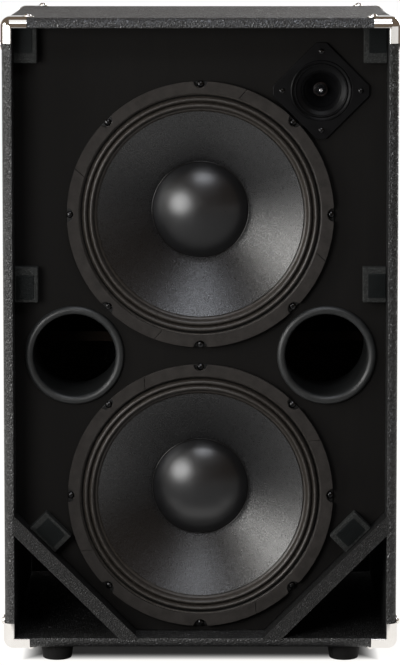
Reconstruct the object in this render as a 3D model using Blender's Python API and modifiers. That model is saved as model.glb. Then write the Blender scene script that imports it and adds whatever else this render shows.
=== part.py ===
"""Vertical bass cabinet with two twelve inch woofers, a tweeter and four ports.

Metres, +Z up. The cabinet faces -Y, and the origin is on the floor under its middle.
Turned pieces are drawn as (radius, depth) profiles, where depth grows away from the side that
the piece looks out of.
"""

import math

import bmesh
import bpy
from mathutils import Matrix

# Clearances
GAP = 0.0003
SHAFT_GAP = 0.0004
AIR_GAP = 0.0006

# Box
PANEL = 0.012
DEPTH = 0.380
EDGE_RADIUS = 0.010
EDGE_FACETS = 4
RIM_RADIUS = 0.002
FOOT_HEIGHT = 0.020
BAFFLE_RECESS = 0.044
BAFFLE_THICKNESS = 0.018
REAR_INSET = 0.004

# Room left round the drivers, which sets the size of the box
SIDE_MARGIN = 0.0605
TOP_MARGIN = 0.0623
BOTTOM_MARGIN = 0.0054
PORT_WALL_MARGIN = 0.0113
PORT_WOOFER_MARGIN = 0.0074

# Woofer frame and seal
WOOFER_RADIUS = 0.1575
RIM_WIDTH = 0.0163
RIM_THICKNESS = 0.003
BASKET_WALL = 0.0025
BASKET_BEND_DEPTH = 0.012
BASKET_DEPTH = 0.104
BASKET_BORE_GAP = 0.006
SHELF_RADIUS = 0.086
SHELF_WIDTH = 0.022
SPOKE_COUNT = 8
WINDOW_WIDTH = 0.050
WINDOW_FLARE = 1.45
WINDOW_TOP = 0.019
WINDOW_BOTTOM = 0.066
GASKET_INSET = 0.001
GASKET_WIDTH = 0.014
GASKET_THICKNESS = 0.004
NOTCH_COUNT = 8
NOTCH_RADIUS = 0.008

# Woofer moving parts
SURROUND_THICKNESS = 0.0006
SURROUND_TUCK = 0.008
OUTER_FLAT = 0.0034
ROLL_PITCH = 0.0072
ROLL_COUNT = 2
ROLL_HEIGHT = 0.0045
INNER_FLAT = 0.0027
SURROUND_LAP = 0.007
CONE_THICKNESS = 0.001
CONE_EDGE_DEPTH = 0.0035
CONE_NECK_DEPTH = 0.0795
CONE_CURVE = 0.94
DUST_CAP_RADIUS = 0.057
DUST_CAP_HEIGHT = 0.019
FORMER_RADIUS = 0.0316
FORMER_WALL = 0.0008
FORMER_LAP = 0.0035
WINDING_THICKNESS = 0.001
WINDING_LENGTH = 0.014
SPIDER_RADIUS = 0.080
SPIDER_DEPTH = 0.0840
SPIDER_THICKNESS = 0.0008
SPIDER_LANDING = 0.008
SPIDER_COLLAR = 0.006
SPIDER_WAVE_COUNT = 2
SPIDER_HEIGHT = 0.002

# Woofer motor
TOP_PLATE_RADIUS = 0.066
TOP_PLATE_THICKNESS = 0.008
MAGNET_RADIUS = 0.070
MAGNET_BORE = 0.042
MAGNET_THICKNESS = 0.020
BACK_PLATE_RADIUS = 0.064
BACK_PLATE_THICKNESS = 0.008
VENT_RADIUS = 0.009

# Tweeter
TWEETER_SIDE = 0.088
TWEETER_REACH = 0.0565
TWEETER_FLANGE = 0.0035
TWEETER_GAP = 0.00095
TWEETER_ANGLE = math.radians(45.8)
HORN_MOUTH = 0.034
HORN_RIM = 0.0025
HORN_RIM_HEIGHT = 0.0008
HORN_DEPTH = 0.030
HORN_THROAT = 0.009
HORN_WALL = 0.0025
HORN_CURVE = 1.5
HORN_STEP_RADIUS = 0.020
HORN_STEP = 0.002
PLUG_RADIUS = 0.006
PLUG_TIP_DEPTH = 0.009
PLUG_NOSE = 0.003
PLUG_SHOULDER = 0.0055
PLUG_SHOULDER_DEPTH = 0.019
PLUG_WAIST_DEPTH = 0.027
PLUG_FOOT = 0.005
TWEETER_MOTOR_RADIUS = 0.026
TWEETER_MOTOR_LENGTH = 0.026
CHAMBER_RADIUS = 0.0204
CHAMBER_DEPTH = 0.0032
DIAPHRAGM_THICKNESS = 0.0008

# Ports
PORT_BORE = 0.049
PORT_WALL = 0.003
PORT_LIP_RADIUS = 0.0583
PORT_LENGTH = 0.112
PORT_BEAD_BASE = 0.0015
CORNER_PORT_MARGIN = 0.0115
CORNER_PORT_THICKNESS = 0.012
CORNER_PORT_LENGTH = 0.250

# Grille blocks with their fastener pads
BLOCK_WIDTH = 0.0275
BLOCK_LENGTH = 0.0415
BLOCK_THICKNESS = 0.0165
PAD_WIDTH = 0.0205
PAD_LENGTH = 0.029
PAD_THICKNESS = 0.0015
MIDDLE_BLOCK_MARGIN = 0.0061
LOW_BLOCK_MARGIN = 0.0022

# Metal corners and feet
CORNER_METAL = 0.0012
CORNER_LEG = 0.0295
CORNER_LEG_WIDTH = 0.0115
CORNER_DEPTH = 0.036
CORNER_FILLET = 0.0035
TAB_RADIUS = 0.007
TAB_OFFSET = 0.030
TAB_SETBACK = 0.0085
FOOT_RADIUS = 0.020
FOOT_TAPER = 0.003
FOOT_RECESS = 0.008
FOOT_INSET_X = 0.060
FOOT_INSET_Y = 0.040

# Brace
BRACE_THICKNESS = 0.012
BRACE_PORT_MARGIN = 0.040
BRACE_TONGUE = 0.050
BRACE_SWEEP = 0.015
BRACE_FRAME = 0.030
BRACE_SPINE = 0.070
BRACE_WINDOW_RADIUS = 0.020

# Rear connector dish and what it carries
DISH_WIDTH = 0.130
DISH_HEIGHT = 0.094
DISH_DEPTH = 0.040
DISH_RISE = 0.110
DISH_WALL = 0.003
DISH_FLANGE = 0.012
DISH_RADIUS = 0.012
SOCKET_BORE = 0.0035
SOCKET_BARREL = 0.006
SOCKET_NUT = 0.009
SOCKET_NUT_HEIGHT = 0.003
SOCKET_BODY = 0.010
SOCKET_LENGTH = 0.026
SOCKET_PITCH = 0.032
SOCKET_X = 0.030
KNOB_X = -0.034
KNOB_TOP_RADIUS = 0.0095
KNOB_CHAMFER = 0.001
KNOB_RADIUS = 0.011
KNOB_SKIRT = 0.014
KNOB_SKIRT_HEIGHT = 0.003
KNOB_HEIGHT = 0.018
KNOB_LIFT = 0.001
SHAFT_RADIUS = 0.003
CONTROL_RADIUS = 0.014
CONTROL_LENGTH = 0.010
BOARD_WIDTH = 0.056
BOARD_HEIGHT = 0.080
BOARD_THICKNESS = 0.0016
COIL_RADIUS = 0.017
COIL_BORE = 0.008
COIL_HEIGHT = 0.014
CAPACITOR_RADIUS = 0.008
CAPACITOR_LENGTH = 0.032

# Side handles
HANDLE_WIDTH = 0.140
HANDLE_HEIGHT = 0.100
HANDLE_DEPTH = 0.052
HANDLE_WALL = 0.003
HANDLE_FLANGE = 0.010
HANDLE_FLANGE_THICKNESS = 0.0025
HANDLE_RADIUS = 0.014
GRIP_HEIGHT = 0.030
GRIP_THICKNESS = 0.016

# Facets round a turned piece
STEPS_LARGE = 28
STEPS_MEDIUM = 22
STEPS_SMALL = 14
STEPS_TINY = 8

# Places that follow from the sizes
INNER_X = WOOFER_RADIUS + SIDE_MARGIN
HALF_WIDTH = INNER_X + PANEL
PORT_X = INNER_X - PORT_WALL_MARGIN - PORT_LIP_RADIUS
PORT_REACH = WOOFER_RADIUS + PORT_LIP_RADIUS + PORT_WOOFER_MARGIN
WOOFER_PITCH = 2 * math.sqrt(PORT_REACH**2 - PORT_X**2)
FLOOR_Z = FOOT_HEIGHT
INNER_FLOOR = FLOOR_Z + PANEL
LOWER_Z = INNER_FLOOR + BOTTOM_MARGIN + WOOFER_RADIUS
UPPER_Z = LOWER_Z + WOOFER_PITCH
PORT_Z = (LOWER_Z + UPPER_Z) / 2
INNER_TOP = UPPER_Z + WOOFER_RADIUS + TOP_MARGIN
TOP_Z = INNER_TOP + PANEL
FRONT_Y = -DEPTH / 2
BAFFLE_FRONT = FRONT_Y + BAFFLE_RECESS
BAFFLE_BACK = BAFFLE_FRONT + BAFFLE_THICKNESS
REAR_BACK = DEPTH / 2 - REAR_INSET
REAR_FRONT = REAR_BACK - PANEL
WOOFER_Y = BAFFLE_FRONT - GAP - RIM_THICKNESS
TWEETER_Y = BAFFLE_FRONT - GAP - TWEETER_FLANGE
TWEETER_ARM = WOOFER_RADIUS + TWEETER_GAP + TWEETER_SIDE / 2
TWEETER_X = TWEETER_ARM * math.cos(TWEETER_ANGLE)
TWEETER_Z = UPPER_Z + TWEETER_ARM * math.sin(TWEETER_ANGLE)
PORT_SLOPE_REACH = WOOFER_RADIUS + CORNER_PORT_MARGIN
CORNER_PORT_LEG = LOWER_Z - INNER_FLOOR + INNER_X - math.sqrt(2) * PORT_SLOPE_REACH
DISH_Z = PORT_Z + DISH_RISE
DISH_FACE = REAR_BACK + GAP + DISH_WALL
DISH_FLOOR = DISH_FACE - DISH_DEPTH + DISH_WALL
HANDLE_Z = UPPER_Z

# Radii of the woofer that follow from the sizes
BASKET_NECK = WOOFER_RADIUS - RIM_WIDTH
GASKET_OUTER = WOOFER_RADIUS - GASKET_INSET
GASKET_INNER = GASKET_OUTER - GASKET_WIDTH
ROLLS_OUTER = GASKET_INNER - OUTER_FLAT
ROLLS_INNER = ROLLS_OUTER - ROLL_COUNT * ROLL_PITCH
SURROUND_INNER = ROLLS_INNER - INNER_FLAT
CONE_RADIUS = SURROUND_INNER - CONE_THICKNESS
FORMER_OUTER = FORMER_RADIUS + FORMER_WALL
WINDING_OUTER = FORMER_OUTER + WINDING_THICKNESS
TOP_PLATE_DEPTH = BASKET_DEPTH + BASKET_WALL + GAP
MAGNET_DEPTH = TOP_PLATE_DEPTH + TOP_PLATE_THICKNESS + GAP
BACK_PLATE_DEPTH = MAGNET_DEPTH + MAGNET_THICKNESS + GAP

LOOK_FRONT = Matrix.Rotation(math.pi / 2, 4, "X")
LOOK_REAR = Matrix.Rotation(-math.pi / 2, 4, "X")
LOOK_UP = Matrix.Identity(4)


# Scene and materials

def clear_scene():
    """Remove every object that the file opened with."""
    for item in list(bpy.data.objects):
        bpy.data.objects.remove(item, do_unlink=True)


def collection(name):
    """A new collection under the scene's own."""
    made = bpy.data.collections.new(name)
    bpy.context.scene.collection.children.link(made)
    return made


def finish(name, colour, roughness, metallic=0.0):
    """A Principled material of one colour."""
    made = bpy.data.materials.new(name)
    made.use_nodes = True
    shader = made.node_tree.nodes["Principled BSDF"]
    shader.inputs["Base Color"].default_value = (*colour, 1.0)
    shader.inputs["Roughness"].default_value = roughness
    shader.inputs["Metallic"].default_value = metallic
    return made


clear_scene()
PARTS = collection("bass_speaker_cabinet")
CUTTERS = collection("cutters")
VINYL = finish("textured_vinyl", (0.045, 0.045, 0.046), 0.62)
PAINTED_WOOD = finish("black_painted_wood", (0.012, 0.011, 0.011), 0.7)
BARE_WOOD = finish("bare_birch_wood", (0.50, 0.36, 0.21), 0.6)
NICKEL = finish("nickel_plated_steel", (0.72, 0.69, 0.66), 0.18, 1.0)
RUBBER = finish("black_rubber", (0.025, 0.025, 0.025), 0.75)
BLACK_STEEL = finish("black_painted_steel", (0.02, 0.02, 0.022), 0.4, 0.6)
FIBRE = finish("gasket_fibre", (0.055, 0.050, 0.046), 0.8)
CLOTH = finish("doped_cloth", (0.035, 0.030, 0.027), 0.45)
PAPER = finish("cone_paper", (0.022, 0.022, 0.024), 0.55)
AMBER = finish("spider_cloth", (0.46, 0.29, 0.10), 0.7)
COPPER = finish("copper_winding", (0.60, 0.27, 0.12), 0.35, 0.8)
ZINC = finish("zinc_plated_steel", (0.60, 0.60, 0.58), 0.35, 1.0)
FERRITE = finish("ferrite_magnet", (0.045, 0.045, 0.05), 0.5)
PLASTIC = finish("black_plastic", (0.02, 0.02, 0.021), 0.4)
ALUMINIUM = finish("aluminium", (0.65, 0.66, 0.68), 0.3, 1.0)
BOARD = finish("circuit_board", (0.05, 0.20, 0.09), 0.5)


# Making and placing

def place(name, mesh, look, transform=LOOK_UP, parent=None, home=PARTS):
    """Put a mesh into the model as one named object."""
    made = bpy.data.objects.new(name, mesh)
    home.objects.link(made)
    made.parent = parent
    made.matrix_local = transform
    if look:
        mesh.materials.clear()
        mesh.materials.append(look)
    if home is CUTTERS:
        made.hide_render = True
        made.display_type = "WIRE"
    return made


def axis_empty(name, x, y, z, look_towards):
    """An empty on a driver's or a control's own axis, whose +Z looks out of the box."""
    made = bpy.data.objects.new(name, None)
    PARTS.objects.link(made)
    made.empty_display_size = 0.05
    made.matrix_world = Matrix.Translation((x, y, z)) @ look_towards
    return made


def boolean(target, operand, operation):
    """Cut the operand out of the target, or join it on."""
    step = target.modifiers.new(operand.name, "BOOLEAN")
    step.operation = operation
    step.solver = "EXACT"
    step.object = operand


def cut(target, *operands):
    for operand in operands:
        boolean(target, operand, "DIFFERENCE")


def join(target, *operands):
    for operand in operands:
        boolean(target, operand, "UNION")


def mesh_from(work, name):
    """End a bmesh as a mesh whose faces look outwards."""
    bmesh.ops.recalc_face_normals(work, faces=work.faces)
    if work.calc_volume(signed=True) < 0:
        bmesh.ops.reverse_faces(work, faces=work.faces)
    made = bpy.data.meshes.new(name)
    work.to_mesh(made)
    work.free()
    return made


def box_work(low, high):
    """A bmesh box between two corners given in any order."""
    spans = [sorted(pair) for pair in zip(low, high)]
    size = [end - start for start, end in spans]
    middle = [(start + end) / 2 for start, end in spans]
    work = bmesh.new()
    bmesh.ops.create_cube(work, size=1.0)
    bmesh.ops.scale(work, vec=size, verts=work.verts)
    bmesh.ops.translate(work, vec=middle, verts=work.verts)
    return work


def round_edges(work, radius, segments, chosen):
    """Round every edge that chosen(middle, direction) picks."""
    edges = []
    for edge in work.edges:
        start, end = (vert.co for vert in edge.verts)
        if chosen((start + end) / 2, (end - start).normalized()):
            edges.append(edge)
    bmesh.ops.bevel(work, geom=edges, offset=radius, segments=segments, profile=0.5,
                    affect="EDGES", clamp_overlap=True)


def along(axis):
    """A test for round_edges that picks the edges running along one axis."""
    return lambda middle, direction: abs(direction[axis]) > 0.999


def plain_box(name, low, high):
    return mesh_from(box_work(low, high), name)


def rounded_box(name, low, high, axis, radius, segments=2):
    """A box whose edges along one axis are rounded."""
    work = box_work(low, high)
    round_edges(work, radius, segments, along(axis))
    return mesh_from(work, name)


def flat_plate(name, outline, thickness):
    """A plate cut to an outline in its own XY plane, centred on it in thickness."""
    curve = bpy.data.curves.new(name, "CURVE")
    curve.dimensions = "2D"
    curve.fill_mode = "BOTH"
    curve.extrude = thickness / 2
    spline = curve.splines.new("POLY")
    spline.points.add(len(outline) - 1)
    for point, (x, y) in zip(spline.points, outline):
        point.co = (x, y, 0.0, 1.0)
    spline.use_cyclic_u = True
    holder = bpy.data.objects.new(name, curve)
    bpy.context.scene.collection.objects.link(holder)
    graph = bpy.context.evaluated_depsgraph_get()
    flat = bpy.data.meshes.new_from_object(holder.evaluated_get(graph))
    bpy.data.objects.remove(holder, do_unlink=True)
    work = bmesh.new()
    work.from_mesh(flat)
    bpy.data.meshes.remove(flat)
    bmesh.ops.remove_doubles(work, verts=work.verts, dist=GAP / 10)
    bmesh.ops.dissolve_limit(work, angle_limit=0.001, verts=work.verts, edges=work.edges)
    return mesh_from(work, name)


def arc(centre, radius, start, end, count):
    """Points on an arc between two angles in degrees, ends included."""
    angles = [math.radians(start + (end - start) * i / count) for i in range(count + 1)]
    return [(centre[0] + radius * math.cos(a), centre[1] + radius * math.sin(a)) for a in angles]


def clear_bore(radius, gap, steps):
    """Corner radius of a faceted bore whose flats stay a gap off a round shaft."""
    return (radius + gap) / math.cos(math.pi / steps)


def profile_mesh(name, profile, closed):
    """The edges of a (radius, depth) profile, ready for a Screw modifier."""
    points = [(radius, 0.0, -depth) for radius, depth in profile]
    edges = [(i, i + 1) for i in range(len(points) - 1)]
    if closed:
        edges.append((len(points) - 1, 0))
    made = bpy.data.meshes.new(name)
    made.from_pydata(points, edges, [])
    return made


def spin(target, steps):
    """Turn a profile once round its own Z axis."""
    turn = target.modifiers.new("turn", "SCREW")
    turn.axis = "Z"
    turn.angle = 2 * math.pi
    turn.steps = steps
    turn.render_steps = steps
    turn.use_merge_vertices = True
    turn.merge_threshold = 0.00001
    turn.use_smooth_shade = True


def turned(name, look, profile, steps, parent, home=PARTS):
    """A solid turned from a closed profile, or from one that starts and ends on the axis."""
    on_axis = profile[0][0] == 0.0 and profile[-1][0] == 0.0
    made = place(name, profile_mesh(name, profile, not on_axis), look, parent=parent, home=home)
    spin(made, steps)
    return made


def turned_shell(name, look, profile, thickness, steps, parent):
    """A thin skin turned from an open profile, with its thickness centred on it."""
    made = place(name, profile_mesh(name, profile, False), look, parent=parent)
    spin(made, steps)
    skin = made.modifiers.new("skin", "SOLIDIFY")
    skin.thickness = thickness
    skin.offset = 0.0
    skin.use_even_offset = True
    return made


def disc_work(radius, start, end, steps, centre=(0.0, 0.0), work=None):
    """A bmesh cylinder along Z between two heights."""
    work = work or bmesh.new()
    spot = Matrix.Translation((centre[0], centre[1], (start + end) / 2))
    bmesh.ops.create_cone(work, cap_ends=True, segments=steps, radius1=radius, radius2=radius,
                          depth=abs(end - start), matrix=spot)
    return work


def disc_cutter(name, radius, start, end, steps, parent):
    """A round cutter along its parent's own axis, between two depths."""
    return place(name, mesh_from(disc_work(radius, -end, -start, steps), name), None,
                 parent=parent, home=CUTTERS)


def cutter(name, mesh, transform=LOOK_UP, parent=None):
    return place(name, mesh, None, transform, parent, CUTTERS)


# Box panels

def side_panel(name, side):
    """A side with its long outer edges rounded, the rims softened and the handle hole."""
    work = box_work((side * INNER_X, FRONT_Y, FLOOR_Z), (side * HALF_WIDTH, -FRONT_Y, TOP_Z))
    outer = HALF_WIDTH - EDGE_RADIUS

    def long_edge(middle, direction):
        return abs(direction.y) > 0.999 and abs(middle.x) > outer

    def rim_edge(middle, direction):
        at_rim = abs(middle.y) > DEPTH / 2 - GAP and abs(direction.y) < 0.001
        return at_rim and abs(middle.x) > INNER_X + GAP

    round_edges(work, EDGE_RADIUS, EDGE_FACETS, long_edge)
    round_edges(work, RIM_RADIUS, 1, rim_edge)
    panel = place(name, mesh_from(work, name), VINYL)
    half_y = HANDLE_WIDTH / 2 + GAP
    half_z = HANDLE_HEIGHT / 2 + GAP
    hole = rounded_box(name + "_hole", (side * (INNER_X - PANEL), -half_y, HANDLE_Z - half_z),
                       (side * (HALF_WIDTH + PANEL), half_y, HANDLE_Z + half_z),
                       0, HANDLE_RADIUS + GAP)
    cut(panel, cutter(name + "_hole", hole))


def level_panel(name, low_z, outer_sign):
    """The top or the bottom, let in between the sides."""
    half = INNER_X - GAP
    work = box_work((-half, FRONT_Y, low_z), (half, -FRONT_Y, low_z + PANEL))
    middle_z = low_z + PANEL / 2

    def rim_edge(middle, direction):
        return abs(direction.x) > 0.999 and (middle.z - middle_z) * outer_sign > 0

    round_edges(work, RIM_RADIUS, 1, rim_edge)
    place(name, mesh_from(work, name), VINYL)


def standing(outline, thickness, name, look, y_middle):
    """A plate with an (x, z) outline, stood up across the box."""
    stand = Matrix.Translation((0.0, y_middle, 0.0)) @ Matrix.Rotation(math.pi / 2, 4, "X")
    return place(name, flat_plate(name, outline, thickness), look, stand)


def front_baffle():
    """The board that carries the drivers, with its lower corners cut off for the ports."""
    half = INNER_X - GAP
    low = INNER_FLOOR + GAP
    high = INNER_TOP - GAP
    clip = CORNER_PORT_LEG + GAP * (math.sqrt(2) - 1)
    outline = [(-half, high), (-half, low + clip), (-half + clip, low), (half - clip, low),
               (half, low + clip), (half, high)]
    middle = (BAFFLE_FRONT + BAFFLE_BACK) / 2
    board = standing(outline, BAFFLE_THICKNESS, "front_baffle", PAINTED_WOOD, middle)
    horn_outer = HORN_MOUTH + HORN_RIM
    tube_outer = PORT_BORE + PORT_WALL
    holes = [("woofer_upper", 0.0, UPPER_Z, BASKET_NECK, STEPS_LARGE),
             ("woofer_lower", 0.0, LOWER_Z, BASKET_NECK, STEPS_LARGE),
             ("tweeter", TWEETER_X, TWEETER_Z, horn_outer, STEPS_MEDIUM),
             ("port_left", -PORT_X, PORT_Z, tube_outer, STEPS_MEDIUM),
             ("port_right", PORT_X, PORT_Z, tube_outer, STEPS_MEDIUM)]
    for name, x, z, radius, steps in holes:
        bore = clear_bore(radius, GAP, steps)
        mesh = mesh_from(disc_work(bore, -BAFFLE_THICKNESS, BAFFLE_THICKNESS, steps), name)
        spot = Matrix.Translation((x, middle, z)) @ LOOK_FRONT
        cut(board, cutter(name + "_baffle_hole", mesh, spot))


def rear_panel():
    """The back, let in between the panels, with the hole for the connector dish."""
    half = INNER_X - GAP
    mesh = plain_box("rear_panel", (-half, REAR_FRONT, INNER_FLOOR + GAP),
                     (half, REAR_BACK, INNER_TOP - GAP))
    panel = place("rear_panel", mesh, VINYL)
    half_x = DISH_WIDTH / 2 + GAP
    half_z = DISH_HEIGHT / 2 + GAP
    hole = rounded_box("dish_hole", (-half_x, REAR_FRONT - PANEL, DISH_Z - half_z),
                       (half_x, REAR_BACK + PANEL, DISH_Z + half_z), 1, DISH_RADIUS + GAP)
    cut(panel, cutter("dish_hole", hole))


def corner_port_panel(name, side):
    """The board across a lower corner, whose far side forms the triangular port."""
    wall = side * (INNER_X - GAP)
    low = INNER_FLOOR + GAP
    inner_leg = CORNER_PORT_LEG - math.sqrt(2) * CORNER_PORT_THICKNESS
    toe = [side * (INNER_X - leg + GAP) for leg in (CORNER_PORT_LEG, inner_leg)]
    head = [INNER_FLOOR + leg - GAP for leg in (CORNER_PORT_LEG, inner_leg)]
    outline = [(wall, head[0]), (toe[0], low), (toe[1], low), (wall, head[1])]
    standing(outline, CORNER_PORT_LENGTH, name, VINYL, FRONT_Y + CORNER_PORT_LENGTH / 2)


def cross_brace():
    """A level brace that ties the sides, back and baffle, with two windows for the air."""
    half = INNER_X - GAP
    front = BAFFLE_BACK + GAP
    shoulder = BAFFLE_FRONT + PORT_LENGTH + BRACE_PORT_MARGIN
    back = REAR_FRONT - GAP
    wing = shoulder + BRACE_SWEEP
    outline = [(-half, back), (-half, wing), (-BRACE_TONGUE, shoulder),
               (-BRACE_TONGUE, front), (BRACE_TONGUE, front), (BRACE_TONGUE, shoulder),
               (half, wing), (half, back)]
    mesh = flat_plate("cross_brace", outline, BRACE_THICKNESS)
    brace = place("cross_brace", mesh, BARE_WOOD, Matrix.Translation((0.0, 0.0, PORT_Z)))
    for name, side in (("left", -1), ("right", 1)):
        window = rounded_box("brace_window_" + name,
                             (side * BRACE_SPINE / 2, wing + BRACE_FRAME,
                              PORT_Z - BRACE_THICKNESS),
                             (side * (half - BRACE_FRAME), back - BRACE_FRAME,
                              PORT_Z + BRACE_THICKNESS), 2, BRACE_WINDOW_RADIUS)
        cut(brace, cutter("brace_window_" + name, window))


# Grille blocks, corners and feet

def grille_block(name, x, z, turn):
    """A small block on the baffle with the fastener pad that holds the grille."""
    spot = Matrix.Translation((x, BAFFLE_FRONT - GAP, z)) @ Matrix.Rotation(turn, 4, "Y")
    half = (BLOCK_WIDTH / 2, BLOCK_LENGTH / 2)
    pad_half = (PAD_WIDTH / 2, PAD_LENGTH / 2)
    mesh = plain_box(name, (-half[0], -BLOCK_THICKNESS, -half[1]), (half[0], 0.0, half[1]))
    block = place(name, mesh, VINYL, spot)
    pad = plain_box(name + "_pad", (-pad_half[0], -BLOCK_THICKNESS - PAD_THICKNESS, -pad_half[1]),
                    (pad_half[0], -BLOCK_THICKNESS / 2, pad_half[1]))
    join(block, cutter(name + "_pad", pad, spot))


def grille_blocks():
    """Blocks in the top corners, beside the upper woofer and on the corner port panels."""
    wall_x = INNER_X - GAP - BLOCK_WIDTH / 2
    top_z = INNER_TOP - GAP - BLOCK_LENGTH / 2
    middle_z = PORT_Z + PORT_LIP_RADIUS + MIDDLE_BLOCK_MARGIN + BLOCK_LENGTH / 2
    face = PORT_SLOPE_REACH - GAP
    nearest = face - BLOCK_WIDTH
    slide = math.sqrt((WOOFER_RADIUS + LOW_BLOCK_MARGIN) ** 2 - nearest**2) + BLOCK_LENGTH / 2
    drop = face - BLOCK_WIDTH / 2
    low_x = (drop + slide) / math.sqrt(2)
    low_z = LOWER_Z + (slide - drop) / math.sqrt(2)
    for name, side in (("left", -1), ("right", 1)):
        grille_block("grille_block_top_" + name, side * wall_x, top_z, 0.0)
        grille_block("grille_block_middle_" + name, side * wall_x, middle_z, 0.0)
        grille_block("grille_block_low_" + name, side * low_x, low_z, side * math.pi / 4)


def corner_block(inset, reach, depth, fillet, segments, side, back, up):
    """A solid over one corner of the box: a rounded outline run along the box's depth.

    Its outer faces stand off the box's own by the inset, it reaches inwards along X and Z by
    reach and along Y by depth, and the end rim is rounded by the fillet.
    """
    radius = EDGE_RADIUS + inset
    turn = arc((radius - inset, radius - inset), radius, 180, 270, EDGE_FACETS)
    outline = [(reach, reach), (-inset, reach)] + turn + [(reach, -inset)]
    mesh = flat_plate("outline", outline, depth + inset)
    work = bmesh.new()
    work.from_mesh(mesh)
    bpy.data.meshes.remove(mesh)
    bmesh.ops.translate(work, vec=(0.0, 0.0, (depth - inset) / 2), verts=work.verts)

    def end_rim(middle, direction):
        outer = min(middle.x, middle.y) < reach / 2 and max(middle.x, middle.y) < reach - GAP
        return middle.z < -inset + GAP and outer

    round_edges(work, fillet, segments, end_rim)
    for vert in work.verts:
        a, b, c = vert.co
        height = TOP_Z - b if up > 0 else FLOOR_Z + b
        vert.co = (side * (HALF_WIDTH - a), back * (DEPTH / 2 - c), height)
    return work


def tab_cutter(name, along_x, side, back, up):
    """The round screw tab of a corner, on the level face or on the side face."""
    level = (TOP_Z if up > 0 else FLOOR_Z)
    outset = GAP + CORNER_METAL
    work = disc_work(TAB_RADIUS, -TAB_RADIUS, outset, STEPS_TINY)
    mesh = mesh_from(work, name)
    y = back * (DEPTH / 2 - TAB_SETBACK)
    if along_x:
        spot = Matrix.Translation((side * (HALF_WIDTH - TAB_OFFSET), y, level))
        spot = spot @ Matrix.Rotation(0.0 if up > 0 else math.pi, 4, "X")
    else:
        spot = Matrix.Translation((side * HALF_WIDTH, y, level - up * TAB_OFFSET))
        spot = spot @ Matrix.Rotation(side * math.pi / 2, 4, "Y")
    return cutter(name, mesh, spot)


def metal_corner(name, side, back, up):
    """A pressed corner: three faces with a rounded rim, and a screw tab on two of them."""
    outset = GAP + CORNER_METAL
    shell = corner_block(outset, CORNER_LEG, CORNER_DEPTH, CORNER_FILLET, 2, side, back, up)
    corner = place(name, mesh_from(shell, name), NICKEL)
    join(corner, tab_cutter(name + "_level_tab", True, side, back, up),
         tab_cutter(name + "_side_tab", False, side, back, up))
    inside = corner_block(GAP, 2 * CORNER_LEG, 2 * CORNER_DEPTH, RIM_RADIUS, 1, side, back, up)
    level = TOP_Z if up > 0 else FLOOR_Z
    window = plain_box(name + "_window",
                       (side * (HALF_WIDTH - CORNER_LEG_WIDTH), back * DEPTH,
                        level - up * CORNER_LEG_WIDTH),
                       (side * (HALF_WIDTH - 2 * CORNER_LEG), 0.0, level - up * 2 * CORNER_LEG))
    cut(corner, cutter(name + "_inside", mesh_from(inside, name)),
        cutter(name + "_window", window))


def metal_corners():
    for depth_name, back in (("front", -1), ("rear", 1)):
        for level_name, up in (("top", 1), ("bottom", -1)):
            for side_name, side in (("left", -1), ("right", 1)):
                metal_corner(f"corner_{depth_name}_{level_name}_{side_name}", side, back, up)


def rubber_feet():
    """Four tapered feet with a screw recess underneath."""
    x = HALF_WIDTH - FOOT_INSET_X
    y = DEPTH / 2 - FOOT_INSET_Y
    profile = [(0.0, GAP), (FOOT_RADIUS, GAP), (FOOT_RADIUS - FOOT_TAPER, FOOT_HEIGHT),
               (FOOT_RECESS, FOOT_HEIGHT), (FOOT_RECESS, FOOT_HEIGHT / 2),
               (0.0, FOOT_HEIGHT / 2)]
    for depth_name, back in (("front", -1), ("rear", 1)):
        for side_name, side in (("left", -1), ("right", 1)):
            name = f"foot_{depth_name}_{side_name}"
            axis = axis_empty(name + "_axis", side * x, back * y, FLOOR_Z, LOOK_UP)
            turned(name, RUBBER, profile, STEPS_SMALL, axis)


# Ports

def port_tube(name, x):
    """A round port with a fat rounded lip in front of the baffle."""
    axis = axis_empty(name + "_axis", x, BAFFLE_FRONT, PORT_Z, LOOK_FRONT)
    bead_radius = (PORT_LIP_RADIUS - PORT_BORE) / 2
    bead = arc((PORT_BORE + bead_radius, PORT_BEAD_BASE), bead_radius, 180, 360, 4)
    lip = [(radius, depth - 2 * PORT_BEAD_BASE) for radius, depth in bead]
    outer = PORT_BORE + PORT_WALL
    profile = lip + [(PORT_LIP_RADIUS, -GAP), (outer, -GAP), (outer, PORT_LENGTH),
                     (PORT_BORE, PORT_LENGTH)]
    turned(name, PLASTIC, profile, STEPS_MEDIUM, axis)


# Woofer

def cone_depth(radius):
    """Depth of the cone's middle surface at a radius."""
    neck = clear_bore(FORMER_OUTER, GAP, STEPS_LARGE)
    share = (radius - neck) / (CONE_RADIUS - neck)
    return CONE_NECK_DEPTH - (CONE_NECK_DEPTH - CONE_EDGE_DEPTH) * share**CONE_CURVE


def above_cone(radius, thickness):
    """Depth of a skin that lies on the cone's front at a radius."""
    reach = GAP
    slope = (cone_depth(radius) - cone_depth(radius + reach)) / reach
    return cone_depth(radius) - (CONE_THICKNESS / 2 + thickness / 2 + GAP) * math.hypot(1, slope)


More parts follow.
